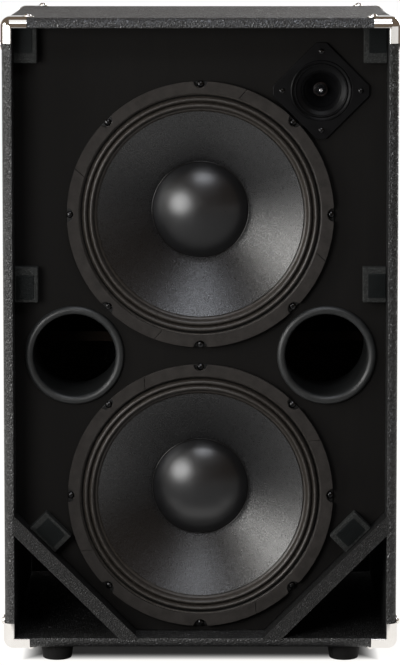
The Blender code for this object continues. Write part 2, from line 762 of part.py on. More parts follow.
def woofer_basket(name, axis):
    """A pressed frame: rim, sloped spokes, spider shelf and the plate that holds the motor."""
    neck_inner = BASKET_NECK - BASKET_WALL
    shelf_front = SPIDER_DEPTH + SPIDER_THICKNESS / 2 + GAP
    shelf_inner = SHELF_RADIUS - SHELF_WIDTH
    plate_bore = clear_bore(WINDING_OUTER, BASKET_BORE_GAP, STEPS_LARGE)
    profile = [(neck_inner, 0.0), (WOOFER_RADIUS, 0.0), (WOOFER_RADIUS, RIM_THICKNESS),
               (BASKET_NECK, RIM_THICKNESS), (BASKET_NECK, BASKET_BEND_DEPTH),
               (SHELF_RADIUS, shelf_front), (SHELF_RADIUS, shelf_front + BASKET_WALL),
               (shelf_inner, shelf_front + BASKET_WALL), (shelf_inner, BASKET_DEPTH + BASKET_WALL),
               (plate_bore, BASKET_DEPTH + BASKET_WALL), (plate_bore, BASKET_DEPTH),
               (shelf_inner - BASKET_WALL, BASKET_DEPTH), (shelf_inner - BASKET_WALL, shelf_front),
               (SHELF_RADIUS - BASKET_WALL, shelf_front), (neck_inner, BASKET_BEND_DEPTH)]
    basket = turned(name + "_basket", BLACK_STEEL, profile, STEPS_LARGE, axis)
    windows = bmesh.new()
    for i in range(SPOKE_COUNT):
        window = box_work((SHELF_RADIUS - SHELF_WIDTH, -WINDOW_WIDTH / 2, -WINDOW_BOTTOM),
                          (WOOFER_RADIUS, WINDOW_WIDTH / 2, -WINDOW_TOP))
        for vert in window.verts:
            if vert.co.x > SHELF_RADIUS:
                vert.co.y *= WINDOW_FLARE
        turn = Matrix.Rotation(2 * math.pi * (i + 0.5) / SPOKE_COUNT, 4, "Z")
        window.transform(turn)
        piece = bpy.data.meshes.new("window")
        window.to_mesh(piece)
        window.free()
        windows.from_mesh(piece)
        bpy.data.meshes.remove(piece)
    cut(basket, cutter(name + "_windows", mesh_from(windows, name + "_windows"), parent=axis))


def woofer_gasket(name, axis):
    """The ring on the rim, notched round each mounting screw."""
    back = -GAP - SURROUND_THICKNESS - GAP
    front = back - GASKET_THICKNESS
    profile = [(GASKET_INNER, front), (GASKET_OUTER, front), (GASKET_OUTER, back),
               (GASKET_INNER, back)]
    gasket = turned(name + "_gasket", FIBRE, profile, STEPS_LARGE, axis)
    notches = bmesh.new()
    for i in range(NOTCH_COUNT):
        angle = 2 * math.pi * i / NOTCH_COUNT
        centre = (GASKET_OUTER * math.cos(angle), GASKET_OUTER * math.sin(angle))
        disc_work(NOTCH_RADIUS, 0.0, 2 * GASKET_THICKNESS, STEPS_TINY, centre, notches)
    cut(gasket, cutter(name + "_notches", mesh_from(notches, name + "_notches"), parent=axis))


def woofer_surround(name, axis):
    """The doped cloth ring with its rolls, from under the gasket to the edge of the cone."""
    level = -GAP - SURROUND_THICKNESS / 2
    points = [(GASKET_INNER + SURROUND_TUCK, level), (ROLLS_OUTER, level)]
    for i in range(1, 2 * ROLL_COUNT + 1):
        points.append((ROLLS_OUTER - ROLL_PITCH * i / 2, level - ROLL_HEIGHT * (i % 2)))
    lap_end = SURROUND_INNER - SURROUND_LAP
    points.append((SURROUND_INNER, above_cone(SURROUND_INNER, SURROUND_THICKNESS)))
    points.append((lap_end, above_cone(lap_end, SURROUND_THICKNESS)))
    turned_shell(name + "_surround", CLOTH, points, SURROUND_THICKNESS, STEPS_LARGE, axis)


def woofer_cone(name, axis):
    """The paper cone, slightly curved between its edge and its neck."""
    neck = clear_bore(FORMER_OUTER, GAP, STEPS_LARGE) + CONE_THICKNESS / 2
    radii = [CONE_RADIUS, (CONE_RADIUS + DUST_CAP_RADIUS) / 2, DUST_CAP_RADIUS, neck]
    points = [(radius, cone_depth(radius)) for radius in radii]
    turned_shell(name + "_cone", PAPER, points, CONE_THICKNESS, STEPS_LARGE, axis)


def woofer_dust_cap(name, axis):
    """The domed cap over the voice coil."""
    base = above_cone(DUST_CAP_RADIUS, CONE_THICKNESS)
    sphere = (DUST_CAP_RADIUS**2 + DUST_CAP_HEIGHT**2) / (2 * DUST_CAP_HEIGHT)
    edge = math.asin(DUST_CAP_RADIUS / sphere)
    points = []
    for i in range(4):
        angle = edge * i / 3
        points.append((sphere * math.sin(angle),
                       base - DUST_CAP_HEIGHT + sphere * (1 - math.cos(angle))))
    turned_shell(name + "_dust_cap", PAPER, points, CONE_THICKNESS, STEPS_MEDIUM, axis)


def woofer_voice_coil(name, axis):
    """The former with its copper winding, centred in the top plate's gap."""
    gap_middle = TOP_PLATE_DEPTH + TOP_PLATE_THICKNESS / 2
    start = gap_middle - WINDING_LENGTH / 2
    end = gap_middle + WINDING_LENGTH / 2
    front = CONE_NECK_DEPTH - FORMER_LAP
    profile = [(FORMER_RADIUS, front), (FORMER_OUTER, front), (FORMER_OUTER, start),
               (WINDING_OUTER, start), (WINDING_OUTER, end), (FORMER_RADIUS, end)]
    turned(name + "_voice_coil", COPPER, profile, STEPS_SMALL, axis)


def woofer_spider(name, axis):
    """The corrugated disc that centres the voice coil on the basket's shelf."""
    bore = clear_bore(FORMER_OUTER, GAP, STEPS_SMALL)
    waves_outer = SPIDER_RADIUS - SPIDER_LANDING
    waves_inner = bore + SPIDER_COLLAR
    points = [(SPIDER_RADIUS, SPIDER_DEPTH)]
    count = 2 * SPIDER_WAVE_COUNT
    for i in range(count + 1):
        radius = waves_outer + (waves_inner - waves_outer) * i / count
        depth = SPIDER_DEPTH - SPIDER_HEIGHT * (i % 2)
        points.append((radius, depth))
    points.append((bore, SPIDER_DEPTH))
    turned_shell(name + "_spider", AMBER, points, SPIDER_THICKNESS, STEPS_SMALL, axis)


def woofer_motor(name, axis):
    """Top plate, magnet ring and the yoke whose pole stands inside the voice coil."""
    bore = clear_bore(WINDING_OUTER, AIR_GAP, STEPS_SMALL)
    top_back = TOP_PLATE_DEPTH + TOP_PLATE_THICKNESS
    magnet_back = MAGNET_DEPTH + MAGNET_THICKNESS
    yoke_back = BACK_PLATE_DEPTH + BACK_PLATE_THICKNESS
    pole = FORMER_RADIUS * math.cos(math.pi / STEPS_SMALL) - AIR_GAP
    turned(name + "_top_plate", ZINC,
           [(bore, TOP_PLATE_DEPTH), (TOP_PLATE_RADIUS, TOP_PLATE_DEPTH),
            (TOP_PLATE_RADIUS, top_back), (bore, top_back)], STEPS_SMALL, axis)
    turned(name + "_magnet", FERRITE,
           [(MAGNET_BORE, MAGNET_DEPTH), (MAGNET_RADIUS, MAGNET_DEPTH),
            (MAGNET_RADIUS, magnet_back), (MAGNET_BORE, magnet_back)], STEPS_SMALL, axis)
    turned(name + "_yoke", ZINC,
           [(VENT_RADIUS, TOP_PLATE_DEPTH), (pole, TOP_PLATE_DEPTH), (pole, BACK_PLATE_DEPTH),
            (BACK_PLATE_RADIUS, BACK_PLATE_DEPTH), (BACK_PLATE_RADIUS, yoke_back),
            (VENT_RADIUS, yoke_back)], STEPS_SMALL, axis)


def woofer(name, z):
    """A whole twelve inch driver on its own axis."""
    axis = axis_empty(name + "_axis", 0.0, WOOFER_Y, z, LOOK_FRONT)
    for make in (woofer_basket, woofer_gasket, woofer_surround, woofer_cone, woofer_dust_cap,
                 woofer_voice_coil, woofer_spider, woofer_motor):
        make(name, axis)


# Tweeter

def bowl_depth(radius):
    """Depth of the horn's flare at a radius, without its step."""
    share = (radius - HORN_THROAT) / (HORN_MOUTH - HORN_THROAT)
    return HORN_DEPTH * (1 - share) ** HORN_CURVE


def tweeter_horn(axis):
    """A clipped square flange with a flared bowl that has one step in it."""
    side = TWEETER_SIDE / 2
    clip = math.sqrt(2) * TWEETER_REACH - side
    outline = [(-side, -clip), (-clip, -side), (clip, -side), (side, -clip),
               (side, clip), (clip, side), (-clip, side), (-side, clip)]
    diamond = (Matrix.Rotation(math.pi / 4, 4, "Z")
               @ Matrix.Translation((0.0, 0.0, -TWEETER_FLANGE / 2)))
    flange = flat_plate("tweeter_horn", outline, TWEETER_FLANGE)
    horn = place("tweeter_horn", flange, PLASTIC, diamond, parent=axis)
    outer = HORN_MOUTH + HORN_RIM
    funnel = turned("tweeter_funnel", None,
                    [(0.0, -HORN_RIM_HEIGHT), (outer - HORN_RIM / 2, -HORN_RIM_HEIGHT),
                     (outer, 0.0), (outer, HORN_DEPTH / 3), (TWEETER_MOTOR_RADIUS, HORN_DEPTH),
                     (0.0, HORN_DEPTH)], STEPS_MEDIUM, axis, CUTTERS)
    bowl = [(0.0, -HORN_WALL), (HORN_MOUTH, -HORN_WALL), (HORN_MOUTH, -HORN_RIM_HEIGHT / 2)]
    outer_radii = [(HORN_MOUTH + HORN_STEP_RADIUS) / 2, HORN_STEP_RADIUS]
    inner_radii = [HORN_STEP_RADIUS, (HORN_STEP_RADIUS + HORN_THROAT) / 2, HORN_THROAT]
    bowl += [(radius, bowl_depth(radius) - HORN_STEP) for radius in outer_radii]
    bowl += [(radius - HORN_STEP / 4, bowl_depth(radius)) for radius in inner_radii]
    bowl += [(HORN_THROAT - HORN_STEP / 4, HORN_DEPTH + HORN_WALL), (0.0, HORN_DEPTH + HORN_WALL)]
    air = turned("tweeter_bowl", None, bowl, STEPS_MEDIUM, axis, CUTTERS)
    join(horn, funnel)
    cut(horn, air)


def tweeter(axis):
    """Horn, phase plug, ring diaphragm and the motor that carries them."""
    tweeter_horn(axis)
    face = HORN_DEPTH + GAP
    floor = face + CHAMBER_DEPTH
    back = face + TWEETER_MOTOR_LENGTH
    chamber = clear_bore(CHAMBER_RADIUS, 0.0, STEPS_SMALL)
    turned("tweeter_motor", BLACK_STEEL,
           [(0.0, floor), (chamber, floor), (chamber, face), (TWEETER_MOTOR_RADIUS, face),
            (TWEETER_MOTOR_RADIUS, back), (0.0, back)], STEPS_SMALL, axis)
    plug_base = floor - GAP
    turned("tweeter_phase_plug", ALUMINIUM,
           [(0.0, PLUG_TIP_DEPTH), (PLUG_NOSE, PLUG_TIP_DEPTH + PLUG_NOSE),
            (PLUG_SHOULDER, PLUG_SHOULDER_DEPTH), (PLUG_RADIUS, PLUG_WAIST_DEPTH),
            (PLUG_FOOT, plug_base), (0.0, plug_base)], STEPS_SMALL, axis)
    start = face + (CHAMBER_DEPTH - DIAPHRAGM_THICKNESS) / 2
    end = start + DIAPHRAGM_THICKNESS
    inner = clear_bore(PLUG_RADIUS, AIR_GAP, STEPS_SMALL)
    outer = CHAMBER_RADIUS - SHAFT_GAP
    turned("tweeter_diaphragm", ALUMINIUM,
           [(inner, start), (outer, start), (outer, end), (inner, end)], STEPS_SMALL, axis)


# Rear connector dish

def connector_dish():
    """A moulded recess in the back with holes for the sockets and the level control."""
    half_x = DISH_WIDTH / 2
    half_z = DISH_HEIGHT / 2
    rim_low = (-half_x - DISH_FLANGE, DISH_FACE - DISH_WALL, DISH_Z - half_z - DISH_FLANGE)
    rim_high = (half_x + DISH_FLANGE, DISH_FACE, DISH_Z + half_z + DISH_FLANGE)
    rim = rounded_box("connector_dish", rim_low, rim_high, 1, DISH_RADIUS)
    dish = place("connector_dish", rim, PLASTIC)
    cup = rounded_box("dish_cup", (-half_x, DISH_FACE - DISH_DEPTH, DISH_Z - half_z),
                      (half_x, DISH_FACE - DISH_WALL / 2, DISH_Z + half_z), 1, DISH_RADIUS)
    hollow = rounded_box("dish_hollow",
                         (-half_x + DISH_WALL, DISH_FLOOR, DISH_Z - half_z + DISH_WALL),
                         (half_x - DISH_WALL, DISH_FACE + DISH_WALL, DISH_Z + half_z - DISH_WALL),
                         1, DISH_RADIUS - DISH_WALL)
    join(dish, cutter("dish_cup", cup))
    cut(dish, cutter("dish_hollow", hollow))
    for name, x in socket_places():
        axis = axis_empty(name + "_axis", x, DISH_FLOOR, DISH_Z, LOOK_REAR)
        bore = clear_bore(SOCKET_BARREL, GAP, STEPS_SMALL)
        cut(dish, disc_cutter(name + "_hole", bore, -DISH_WALL, 2 * DISH_WALL, STEPS_SMALL, axis))
        speaker_socket(name, axis)
    knob_axis = axis_empty("level_knob_axis", KNOB_X, DISH_FLOOR, DISH_Z, LOOK_REAR)
    bore = clear_bore(SHAFT_RADIUS, AIR_GAP, STEPS_SMALL)
    cut(dish, disc_cutter("shaft_hole", bore, -DISH_WALL, 2 * DISH_WALL, STEPS_SMALL, knob_axis))
    level_knob(knob_axis)
    crossover_board(knob_axis)


def socket_places():
    """Name and X of each socket."""
    return [("speaker_socket_left", SOCKET_X - SOCKET_PITCH / 2),
            ("speaker_socket_right", SOCKET_X + SOCKET_PITCH / 2)]


def speaker_socket(name, axis):
    """A jack socket clamped through the dish: nut outside, barrel, and body inside."""
    body_start = DISH_WALL + GAP
    bore_end = SOCKET_LENGTH - SOCKET_NUT_HEIGHT
    turned(name, PLASTIC,
           [(0.0, bore_end), (SOCKET_BORE, bore_end), (SOCKET_BORE, -SOCKET_NUT_HEIGHT - GAP),
            (SOCKET_NUT, -SOCKET_NUT_HEIGHT - GAP), (SOCKET_NUT, -GAP), (SOCKET_BARREL, -GAP),
            (SOCKET_BARREL, body_start), (SOCKET_BODY, body_start), (SOCKET_BODY, SOCKET_LENGTH),
            (0.0, SOCKET_LENGTH)], STEPS_SMALL, axis)


def level_knob(axis):
    """The tweeter level knob in one piece with its shaft."""
    shaft_end = DISH_WALL + CONTROL_LENGTH
    turned("level_knob", PLASTIC,
           [(0.0, -KNOB_HEIGHT), (KNOB_TOP_RADIUS - KNOB_CHAMFER, -KNOB_HEIGHT),
            (KNOB_TOP_RADIUS, KNOB_CHAMFER - KNOB_HEIGHT), (KNOB_RADIUS, -KNOB_SKIRT_HEIGHT),
            (KNOB_SKIRT, -KNOB_SKIRT_HEIGHT), (KNOB_SKIRT, -KNOB_LIFT),
            (SHAFT_RADIUS, -KNOB_LIFT), (SHAFT_RADIUS, shaft_end), (0.0, shaft_end)],
           STEPS_SMALL, axis)


def crossover_board(axis):
    """The board behind the dish, with the level control, a coil and two capacitors on it."""
    face = DISH_WALL + GAP
    board_face = face + CONTROL_LENGTH
    board_back = board_face + BOARD_THICKNESS
    overlap = BOARD_THICKNESS / 2
    mesh = plain_box("crossover_board", (-BOARD_WIDTH / 2, -BOARD_HEIGHT / 2, -board_back),
                     (BOARD_WIDTH / 2, BOARD_HEIGHT / 2, -board_face))
    board = place("crossover_board", mesh, BOARD, parent=axis)
    control = disc_work(CONTROL_RADIUS, -board_face - overlap, -face, STEPS_SMALL)
    coil_top = board_back + COIL_HEIGHT
    coil_spot = (0.0, BOARD_HEIGHT / 4)
    coil = disc_work(COIL_RADIUS, -coil_top, -board_back + overlap, STEPS_SMALL, coil_spot)
    join(board, cutter("control_body", mesh_from(control, "control_body"), parent=axis),
         cutter("coil_body", mesh_from(coil, "coil_body"), parent=axis))
    bore = disc_work(COIL_BORE, -coil_top - overlap, -board_back, STEPS_SMALL, coil_spot)
    cut(board, cutter("coil_bore", mesh_from(bore, "coil_bore"), parent=axis))
    for i in (-1, 1):
        name = "capacitor_" + ("left" if i < 0 else "right")
        can = disc_work(CAPACITOR_RADIUS, -CAPACITOR_LENGTH / 2, CAPACITOR_LENGTH / 2,
                        STEPS_TINY)
        x = i * BOARD_WIDTH / 4
        spot = Matrix.Translation((x, -BOARD_HEIGHT / 4, -board_back - CAPACITOR_RADIUS + overlap))
        lie = spot @ Matrix.Rotation(math.pi / 2, 4, "X")
        join(board, cutter(name, mesh_from(can, name), lie, axis))
    shaft_bore = clear_bore(SHAFT_RADIUS, GAP, STEPS_SMALL)
    cut(board, disc_cutter("control_bore", shaft_bore, 0.0, board_face, STEPS_SMALL, axis))


# Side handles

def side_handle(name, side):
    """A moulded recess whose overhanging upper lip is the grip."""
    half_y = HANDLE_WIDTH / 2
    half_z = HANDLE_HEIGHT / 2
    face = HALF_WIDTH + GAP + HANDLE_FLANGE_THICKNESS
    back = face - HANDLE_DEPTH
    flange = rounded_box(name, (side * (HALF_WIDTH + GAP), -half_y - HANDLE_FLANGE,
                                HANDLE_Z - half_z - HANDLE_FLANGE),
                         (side * face, half_y + HANDLE_FLANGE,
                          HANDLE_Z + half_z + HANDLE_FLANGE), 0, HANDLE_RADIUS)
    handle = place(name, flange, PLASTIC)
    cup = rounded_box(name + "_cup", (side * back, -half_y, HANDLE_Z - half_z),
                      (side * (face - HANDLE_FLANGE_THICKNESS / 2), half_y, HANDLE_Z + half_z),
                      0, HANDLE_RADIUS)
    room_y = half_y - HANDLE_WALL
    room_z = half_z - HANDLE_WALL
    inner_radius = HANDLE_RADIUS - HANDLE_WALL
    room = rounded_box(name + "_room", (side * (back + HANDLE_WALL), -room_y, HANDLE_Z - room_z),
                       (side * (face - GRIP_THICKNESS), room_y, HANDLE_Z + room_z),
                       0, inner_radius)
    mouth = rounded_box(name + "_mouth",
                        (side * (back + 2 * HANDLE_WALL), -room_y, HANDLE_Z - room_z),
                        (side * (face + HANDLE_WALL), room_y, HANDLE_Z + half_z - GRIP_HEIGHT),
                        0, inner_radius)
    join(handle, cutter(name + "_cup", cup))
    cut(handle, cutter(name + "_room", room), cutter(name + "_mouth", mouth))


def build():
    """Make every piece of the cabinet."""
    side_panel("side_panel_left", -1)
    side_panel("side_panel_right", 1)
    level_panel("top_panel", INNER_TOP, 1)
    level_panel("bottom_panel", FLOOR_Z, -1)
    front_baffle()
    rear_panel()
    corner_port_panel("corner_port_panel_left", -1)
    corner_port_panel("corner_port_panel_right", 1)
    cross_brace()
    grille_blocks()
    metal_corners()
    rubber_feet()
    port_tube("port_tube_left", -PORT_X)
    port_tube("port_tube_right", PORT_X)
    woofer("woofer_upper", UPPER_Z)
    woofer("woofer_lower", LOWER_Z)
    tweeter(axis_empty("tweeter_axis", TWEETER_X, TWEETER_Y, TWEETER_Z, LOOK_FRONT))
    connector_dish()
    side_handle("side_handle_left", -1)
    side_handle("side_handle_right", 1)


build()
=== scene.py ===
"""Looks of an upright bass speaker cabinet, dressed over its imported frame.

Metres, +Z up, front towards -Y. Each sub-assembly is a class that holds its own sizes. Turned and
flat pieces are drawn in a local frame whose +Z looks out of the surface that carries them. A
section is a row of (x, y) or (radius, height) corners, with a third value where one is rounded.
"""
import logging
import math
from collections.abc import Callable, Sequence
from dataclasses import dataclass, field
from enum import Enum

import bmesh
import bpy
from mathutils import Matrix, Vector


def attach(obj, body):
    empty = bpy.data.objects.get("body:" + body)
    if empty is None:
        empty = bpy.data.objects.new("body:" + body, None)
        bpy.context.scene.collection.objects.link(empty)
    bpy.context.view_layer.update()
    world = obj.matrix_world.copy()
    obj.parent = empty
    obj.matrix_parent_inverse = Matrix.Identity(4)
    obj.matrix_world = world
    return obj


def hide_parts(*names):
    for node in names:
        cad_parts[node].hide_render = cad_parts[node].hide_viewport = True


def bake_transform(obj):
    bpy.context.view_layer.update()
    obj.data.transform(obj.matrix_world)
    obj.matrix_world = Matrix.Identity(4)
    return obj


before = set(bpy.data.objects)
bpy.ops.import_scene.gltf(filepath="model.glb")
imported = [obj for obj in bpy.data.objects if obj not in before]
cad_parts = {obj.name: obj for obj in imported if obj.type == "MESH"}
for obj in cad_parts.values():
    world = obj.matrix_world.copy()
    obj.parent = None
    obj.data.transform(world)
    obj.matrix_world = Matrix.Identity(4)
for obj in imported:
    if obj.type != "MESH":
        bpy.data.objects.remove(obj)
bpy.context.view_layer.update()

LOG = logging.getLogger("cabinet")
GAP = 0.0003
WHITE = (1.0, 1.0, 1.0)
Colour = tuple[float, float, float]
Point = tuple[float, float]
Section = Sequence[tuple[float, ...]]
Place = tuple[Vector, Vector]
Brick = tuple[Colour, Colour, float]
Ramp = tuple[float, ...]
Tint = int | Callable[[Vector], int]
Socket = bpy.types.NodeSocket
Sockets = bpy.types.bpy_prop_collection


class Body(Enum):
    """The bodies of the frame that pieces ride on."""

    CABINET = "cabinet"
    UPPER = "woofer_upper_moving"
    LOWER = "woofer_lower_moving"
    TWEETER = "tweeter_moving"
    KNOB = "level_control"


class Side(Enum):
    """The sides of the cabinet, seen from the front, as signs along X."""

    LEFT = -1
    RIGHT = 1

    @property
    def label(self) -> str:
        """The side's name in node names."""
        return self.name.lower()


class Look(Enum):
    """Where a local +Z looks: degrees of tilt about X, then of turn about Z."""

    FRONT = (90.0, 0.0)
    REAR = (90.0, 180.0)
    RIGHT = (90.0, 90.0)
    LEFT = (90.0, -90.0)
    UP = (0.0, 0.0)

    def at(self, x: float = 0.0, y: float = 0.0, z: float = 0.0) -> Matrix:
        """The local frame that looks this way from a point.

        Args:
            x: The point's X.
            y: Its Y.
            z: Its Z.

        Returns:
            The frame as a matrix.
        """
        tilt, turn = (math.radians(angle) for angle in self.value)
        turned = Matrix.Rotation(turn, 4, "Z") @ Matrix.Rotation(tilt, 4, "X")
        return Matrix.Translation((x, y, z)) @ turned


# Node trees

class Wiring:
    """Adds nodes to a tree and feeds their sockets."""

    def __init__(self, tree: bpy.types.NodeTree) -> None:
        """Work on one tree."""
        self.tree = tree

    @classmethod
    def bare(cls, owner: bpy.types.ID) -> "Wiring":
        """Empty the tree of a material or a world and work on it.

        Args:
            owner: The material or world.

        Returns:
            The wiring of its tree.
        """
        owner.use_nodes = True
        owner.node_tree.nodes.clear()
        return cls(owner.node_tree)

    def node(self, kind: str, inputs: dict | None = None, **settings: object) -> bpy.types.Node:
        """Add a node.

        Args:
            kind: The node's type name.
            inputs: Links or constants, by socket name or index.
            settings: The node's own properties.

        Returns:
            The node.
        """
        made = self.tree.nodes.new(kind)
        for key, value in settings.items():
            setattr(made, key, value)
        for key, value in (inputs or {}).items():
            if isinstance(value, Socket):
                self.tree.links.new(value, made.inputs[key])
            else:
                made.inputs[key].default_value = value
        return made

    def out(self, kind: str, inputs: dict | None = None, **settings: object) -> Socket:
        """Add a node and return its first output."""
        return self.node(kind, inputs, **settings).outputs[0]

    def math(self, operation: str, *values: object) -> Socket:
        """Join up to three values by a sum, product or other operation."""
        return self.out("ShaderNodeMath", dict(enumerate(values)), operation=operation)

    def times(self, *values: object) -> Socket:
        """Multiply two values."""
        return self.math("MULTIPLY", *values)

    def span(self, value: object, low: float, high: float, start: float = 0.0,
             end: float = 1.0) -> Socket:
        """Map low..high onto start..end, clamped."""
        return self.out("ShaderNodeMapRange", {"Value": value, "From Min": low, "From Max": high,
                                               "To Min": start, "To Max": end})

    def mix(self, share: object, first: object, second: object) -> Socket:
        """Mix two colours by the second one's share."""
        pair = [(*c, 1.0) if isinstance(c, tuple) else c for c in (first, second)]
        return self.node("ShaderNodeMix", {0: share, 6: pair[0], 7: pair[1]},
                         data_type="RGBA").outputs[2]

    def axes(self, vector: object) -> Sockets:
        """X, Y and Z of a vector."""
        return self.node("ShaderNodeSeparateXYZ", {0: vector}).outputs

    def joined(self, inputs: dict) -> Socket:
        """A vector of the values given by axis number."""
        return self.out("ShaderNodeCombineXYZ", inputs)

    def vector(self, operation: str, inputs: dict) -> Socket:
        """Work on vectors."""
        return self.out("ShaderNodeVectorMath", inputs, operation=operation)

    def noise(self, place: object, scale: float, detail: float = 2.0, rough: float = 0.5
              ) -> Socket:
        """A noise value."""
        return self.out("ShaderNodeTexNoise", {"Vector": place, "Scale": scale, "Detail": detail,
                                               "Roughness": rough})

    def cells(self, place: object, scale: object, feature: str, output: str) -> Socket:
        """An output of a cell pattern."""
        return self.node("ShaderNodeTexVoronoi", {"Vector": place, "Scale": scale},
                         feature=feature).outputs[output]

    def facing(self) -> Socket:
        """The vertical part of the surface's normal."""
        return self.axes(self.node("ShaderNodeNewGeometry").outputs["Normal"])[2]


class Effect(Enum):
    """Shader groups that the finishes share."""

    PEBBLE = "pebble_grain"
    STREAK = "streaks"
    WEAVE = "cloth_weave"
    POLAR = "polar_place"
    WEAR = "edge_wear"
    DUST = "settled_dust"

    def tree(self) -> bpy.types.NodeTree:
        """The group, built at its first use."""
        return bpy.data.node_groups.get(self.value) or self.build()

    def build(self) -> bpy.types.NodeTree:
        """Make the group with its named sockets.

        Returns:
            The group's tree.
        """
        sockets, outputs, fill = EFFECT_PARTS[self]
        tree = bpy.data.node_groups.new(self.value, "ShaderNodeTree")
        for label, value in sockets.items():
            kind = "NodeSocketFloat" if isinstance(value, float) else "NodeSocketVector"
            made = tree.interface.new_socket(label, in_out="INPUT", socket_type=kind)
            made.default_value = value
        for label, kind in outputs.items():
            tree.interface.new_socket(label, in_out="OUTPUT", socket_type="NodeSocket" + kind)
        w = Wiring(tree)
        given = w.node("NodeGroupInput").outputs
        w.node("NodeGroupOutput", fill(w, given))
        return tree

    def on(self, w: Wiring, **inputs: object) -> Sockets:
        """Place the group in a material and return its outputs."""
        return w.node("ShaderNodeGroup", inputs, node_tree=self.tree()).outputs


def fill_pebble(w: Wiring, given: Sockets) -> dict:
    """Rounded pebbles with creases between them, each with a tone and a height of its own, and
    darker into the creases as painted shade.

    Args:
        w: The group's wiring.
        given: The group's inputs.

    Returns:
        Its outputs by name.
    """
    bend = w.times(w.noise(given["Vector"], given["Bend Scale"], 1.0), given["Bend"])
    place = w.vector("ADD", {0: given["Vector"], 1: bend})
    edge = w.cells(place, given["Scale"], "DISTANCE_TO_EDGE", "Distance")
    own = w.axes(w.cells(place, given["Scale"], "F1", "Color"))[0]
    tone = w.span(own, 0.15, 0.95)
    dome = w.span(edge, 0.0, 0.32)
    # The tone darkens from each pebble's top into the creases: a painted shade, times each
    # pebble's own random tone.
    mask = w.times(w.span(dome, 0.0, 1.0, 0.3, 1.0), w.math("POWER", tone, 1.6))
    return {"Height": w.times(dome, w.span(tone, 0.0, 1.0, 0.6, 1.0)), "Mask": mask}


def fill_streak(w: Wiring, given: Sockets) -> dict:
    """Noise drawn out along an axis.

    Args:
        w: The group's wiring.
        given: The group's inputs.

    Returns:
        Its outputs by name.
    """
    place = w.vector("MULTIPLY", {0: given["Vector"], 1: given["Stretch"]})
    fine = w.noise(place, given["Scale"], 4.0, 0.6)
    return {"Height": fine, "Mask": w.span(fine, 0.35, 0.65)}


def fill_weave(w: Wiring, given: Sockets) -> dict:
    """Threads that pass over and under each other, lighter where they rise as a painted highlight.

    Args:
        w: The group's wiring.
        given: The group's inputs.

    Returns:
        Its outputs by name.
    """
    place = w.vector("SCALE", {0: given["Vector"], "Scale": given["Scale"]})
    across, along = (w.math("SINE", w.times(axis, 6.283)) for axis in w.axes(place)[:2])
    height = w.span(w.times(across, along), -1.0, 1.0)
    fuzz = w.noise(place, 0.35, 3.0)
    # The tone follows the threads' height and is lighter on top: a painted highlight, over random
    # fuzz.
    return {"Height": height,
            "Mask": w.times(w.span(fuzz, 0.3, 0.7), w.span(height, 0.0, 1.0, 0.6, 1.0))}


def fill_polar(w: Wiring, given: Sockets) -> dict:
    """Distance from the local Z axis and the direction away from it.

    Args:
        w: The group's wiring.
        given: The group's inputs.

    Returns:
        Its outputs by name.
    """
    x, y, _ = w.axes(given["Vector"])
    flat = w.joined({0: x, 1: y})
    radius = w.node("ShaderNodeVectorMath", {0: flat}, operation="LENGTH").outputs["Value"]
    return {"Radius": radius, "Way": w.vector("NORMALIZE", {0: flat})}


def fill_wear(w: Wiring, given: Sockets) -> dict:
    """Rubbed spots on convex edges.

    Args:
        w: The group's wiring.
        given: The group's inputs.

    Returns:
        Its outputs by name.
    """
    edge = w.span(w.node("ShaderNodeNewGeometry").outputs["Pointiness"], 0.52, 0.62)
    spots = w.span(w.noise(given["Vector"], given["Scale"], 5.0, 0.7), 0.5, 0.68)
    return {"Mask": w.times(w.times(edge, spots), given["Amount"])}


def fill_dust(w: Wiring, given: Sockets) -> dict:
    """A thin film that lies on what faces up.

    Args:
        w: The group's wiring.
        given: The group's inputs.

    Returns:
        Its outputs by name.
    """
    up = w.span(w.facing(), 0.2, 0.95)
    film = w.span(w.noise(given["Vector"], given["Scale"], 4.0, 0.6), 0.3, 0.8)
    return {"Mask": w.times(w.times(up, film), given["Amount"])}


PLACE = {"Vector": (0.0, 0.0, 0.0)}
RELIEF = {"Height": "Float", "Mask": "Float"}
MASK = {"Mask": "Float"}
EFFECT_PARTS = {
    Effect.PEBBLE: (PLACE | {"Scale": 900.0, "Bend Scale": 260.0, "Bend": 0.002}, RELIEF,
                    fill_pebble),
    Effect.STREAK: (PLACE | {"Stretch": (1.0, 1.0, 1.0), "Scale": 200.0}, RELIEF, fill_streak),
    Effect.WEAVE: (PLACE | {"Scale": 900.0}, RELIEF, fill_weave),
    Effect.POLAR: (PLACE, {"Radius": "Float", "Way": "Vector"}, fill_polar),
    Effect.WEAR: (PLACE | {"Scale": 300.0, "Amount": 0.5}, MASK, fill_wear),
    Effect.DUST: (PLACE | {"Scale": 60.0, "Amount": 0.2}, MASK, fill_dust),
}


# Finishes

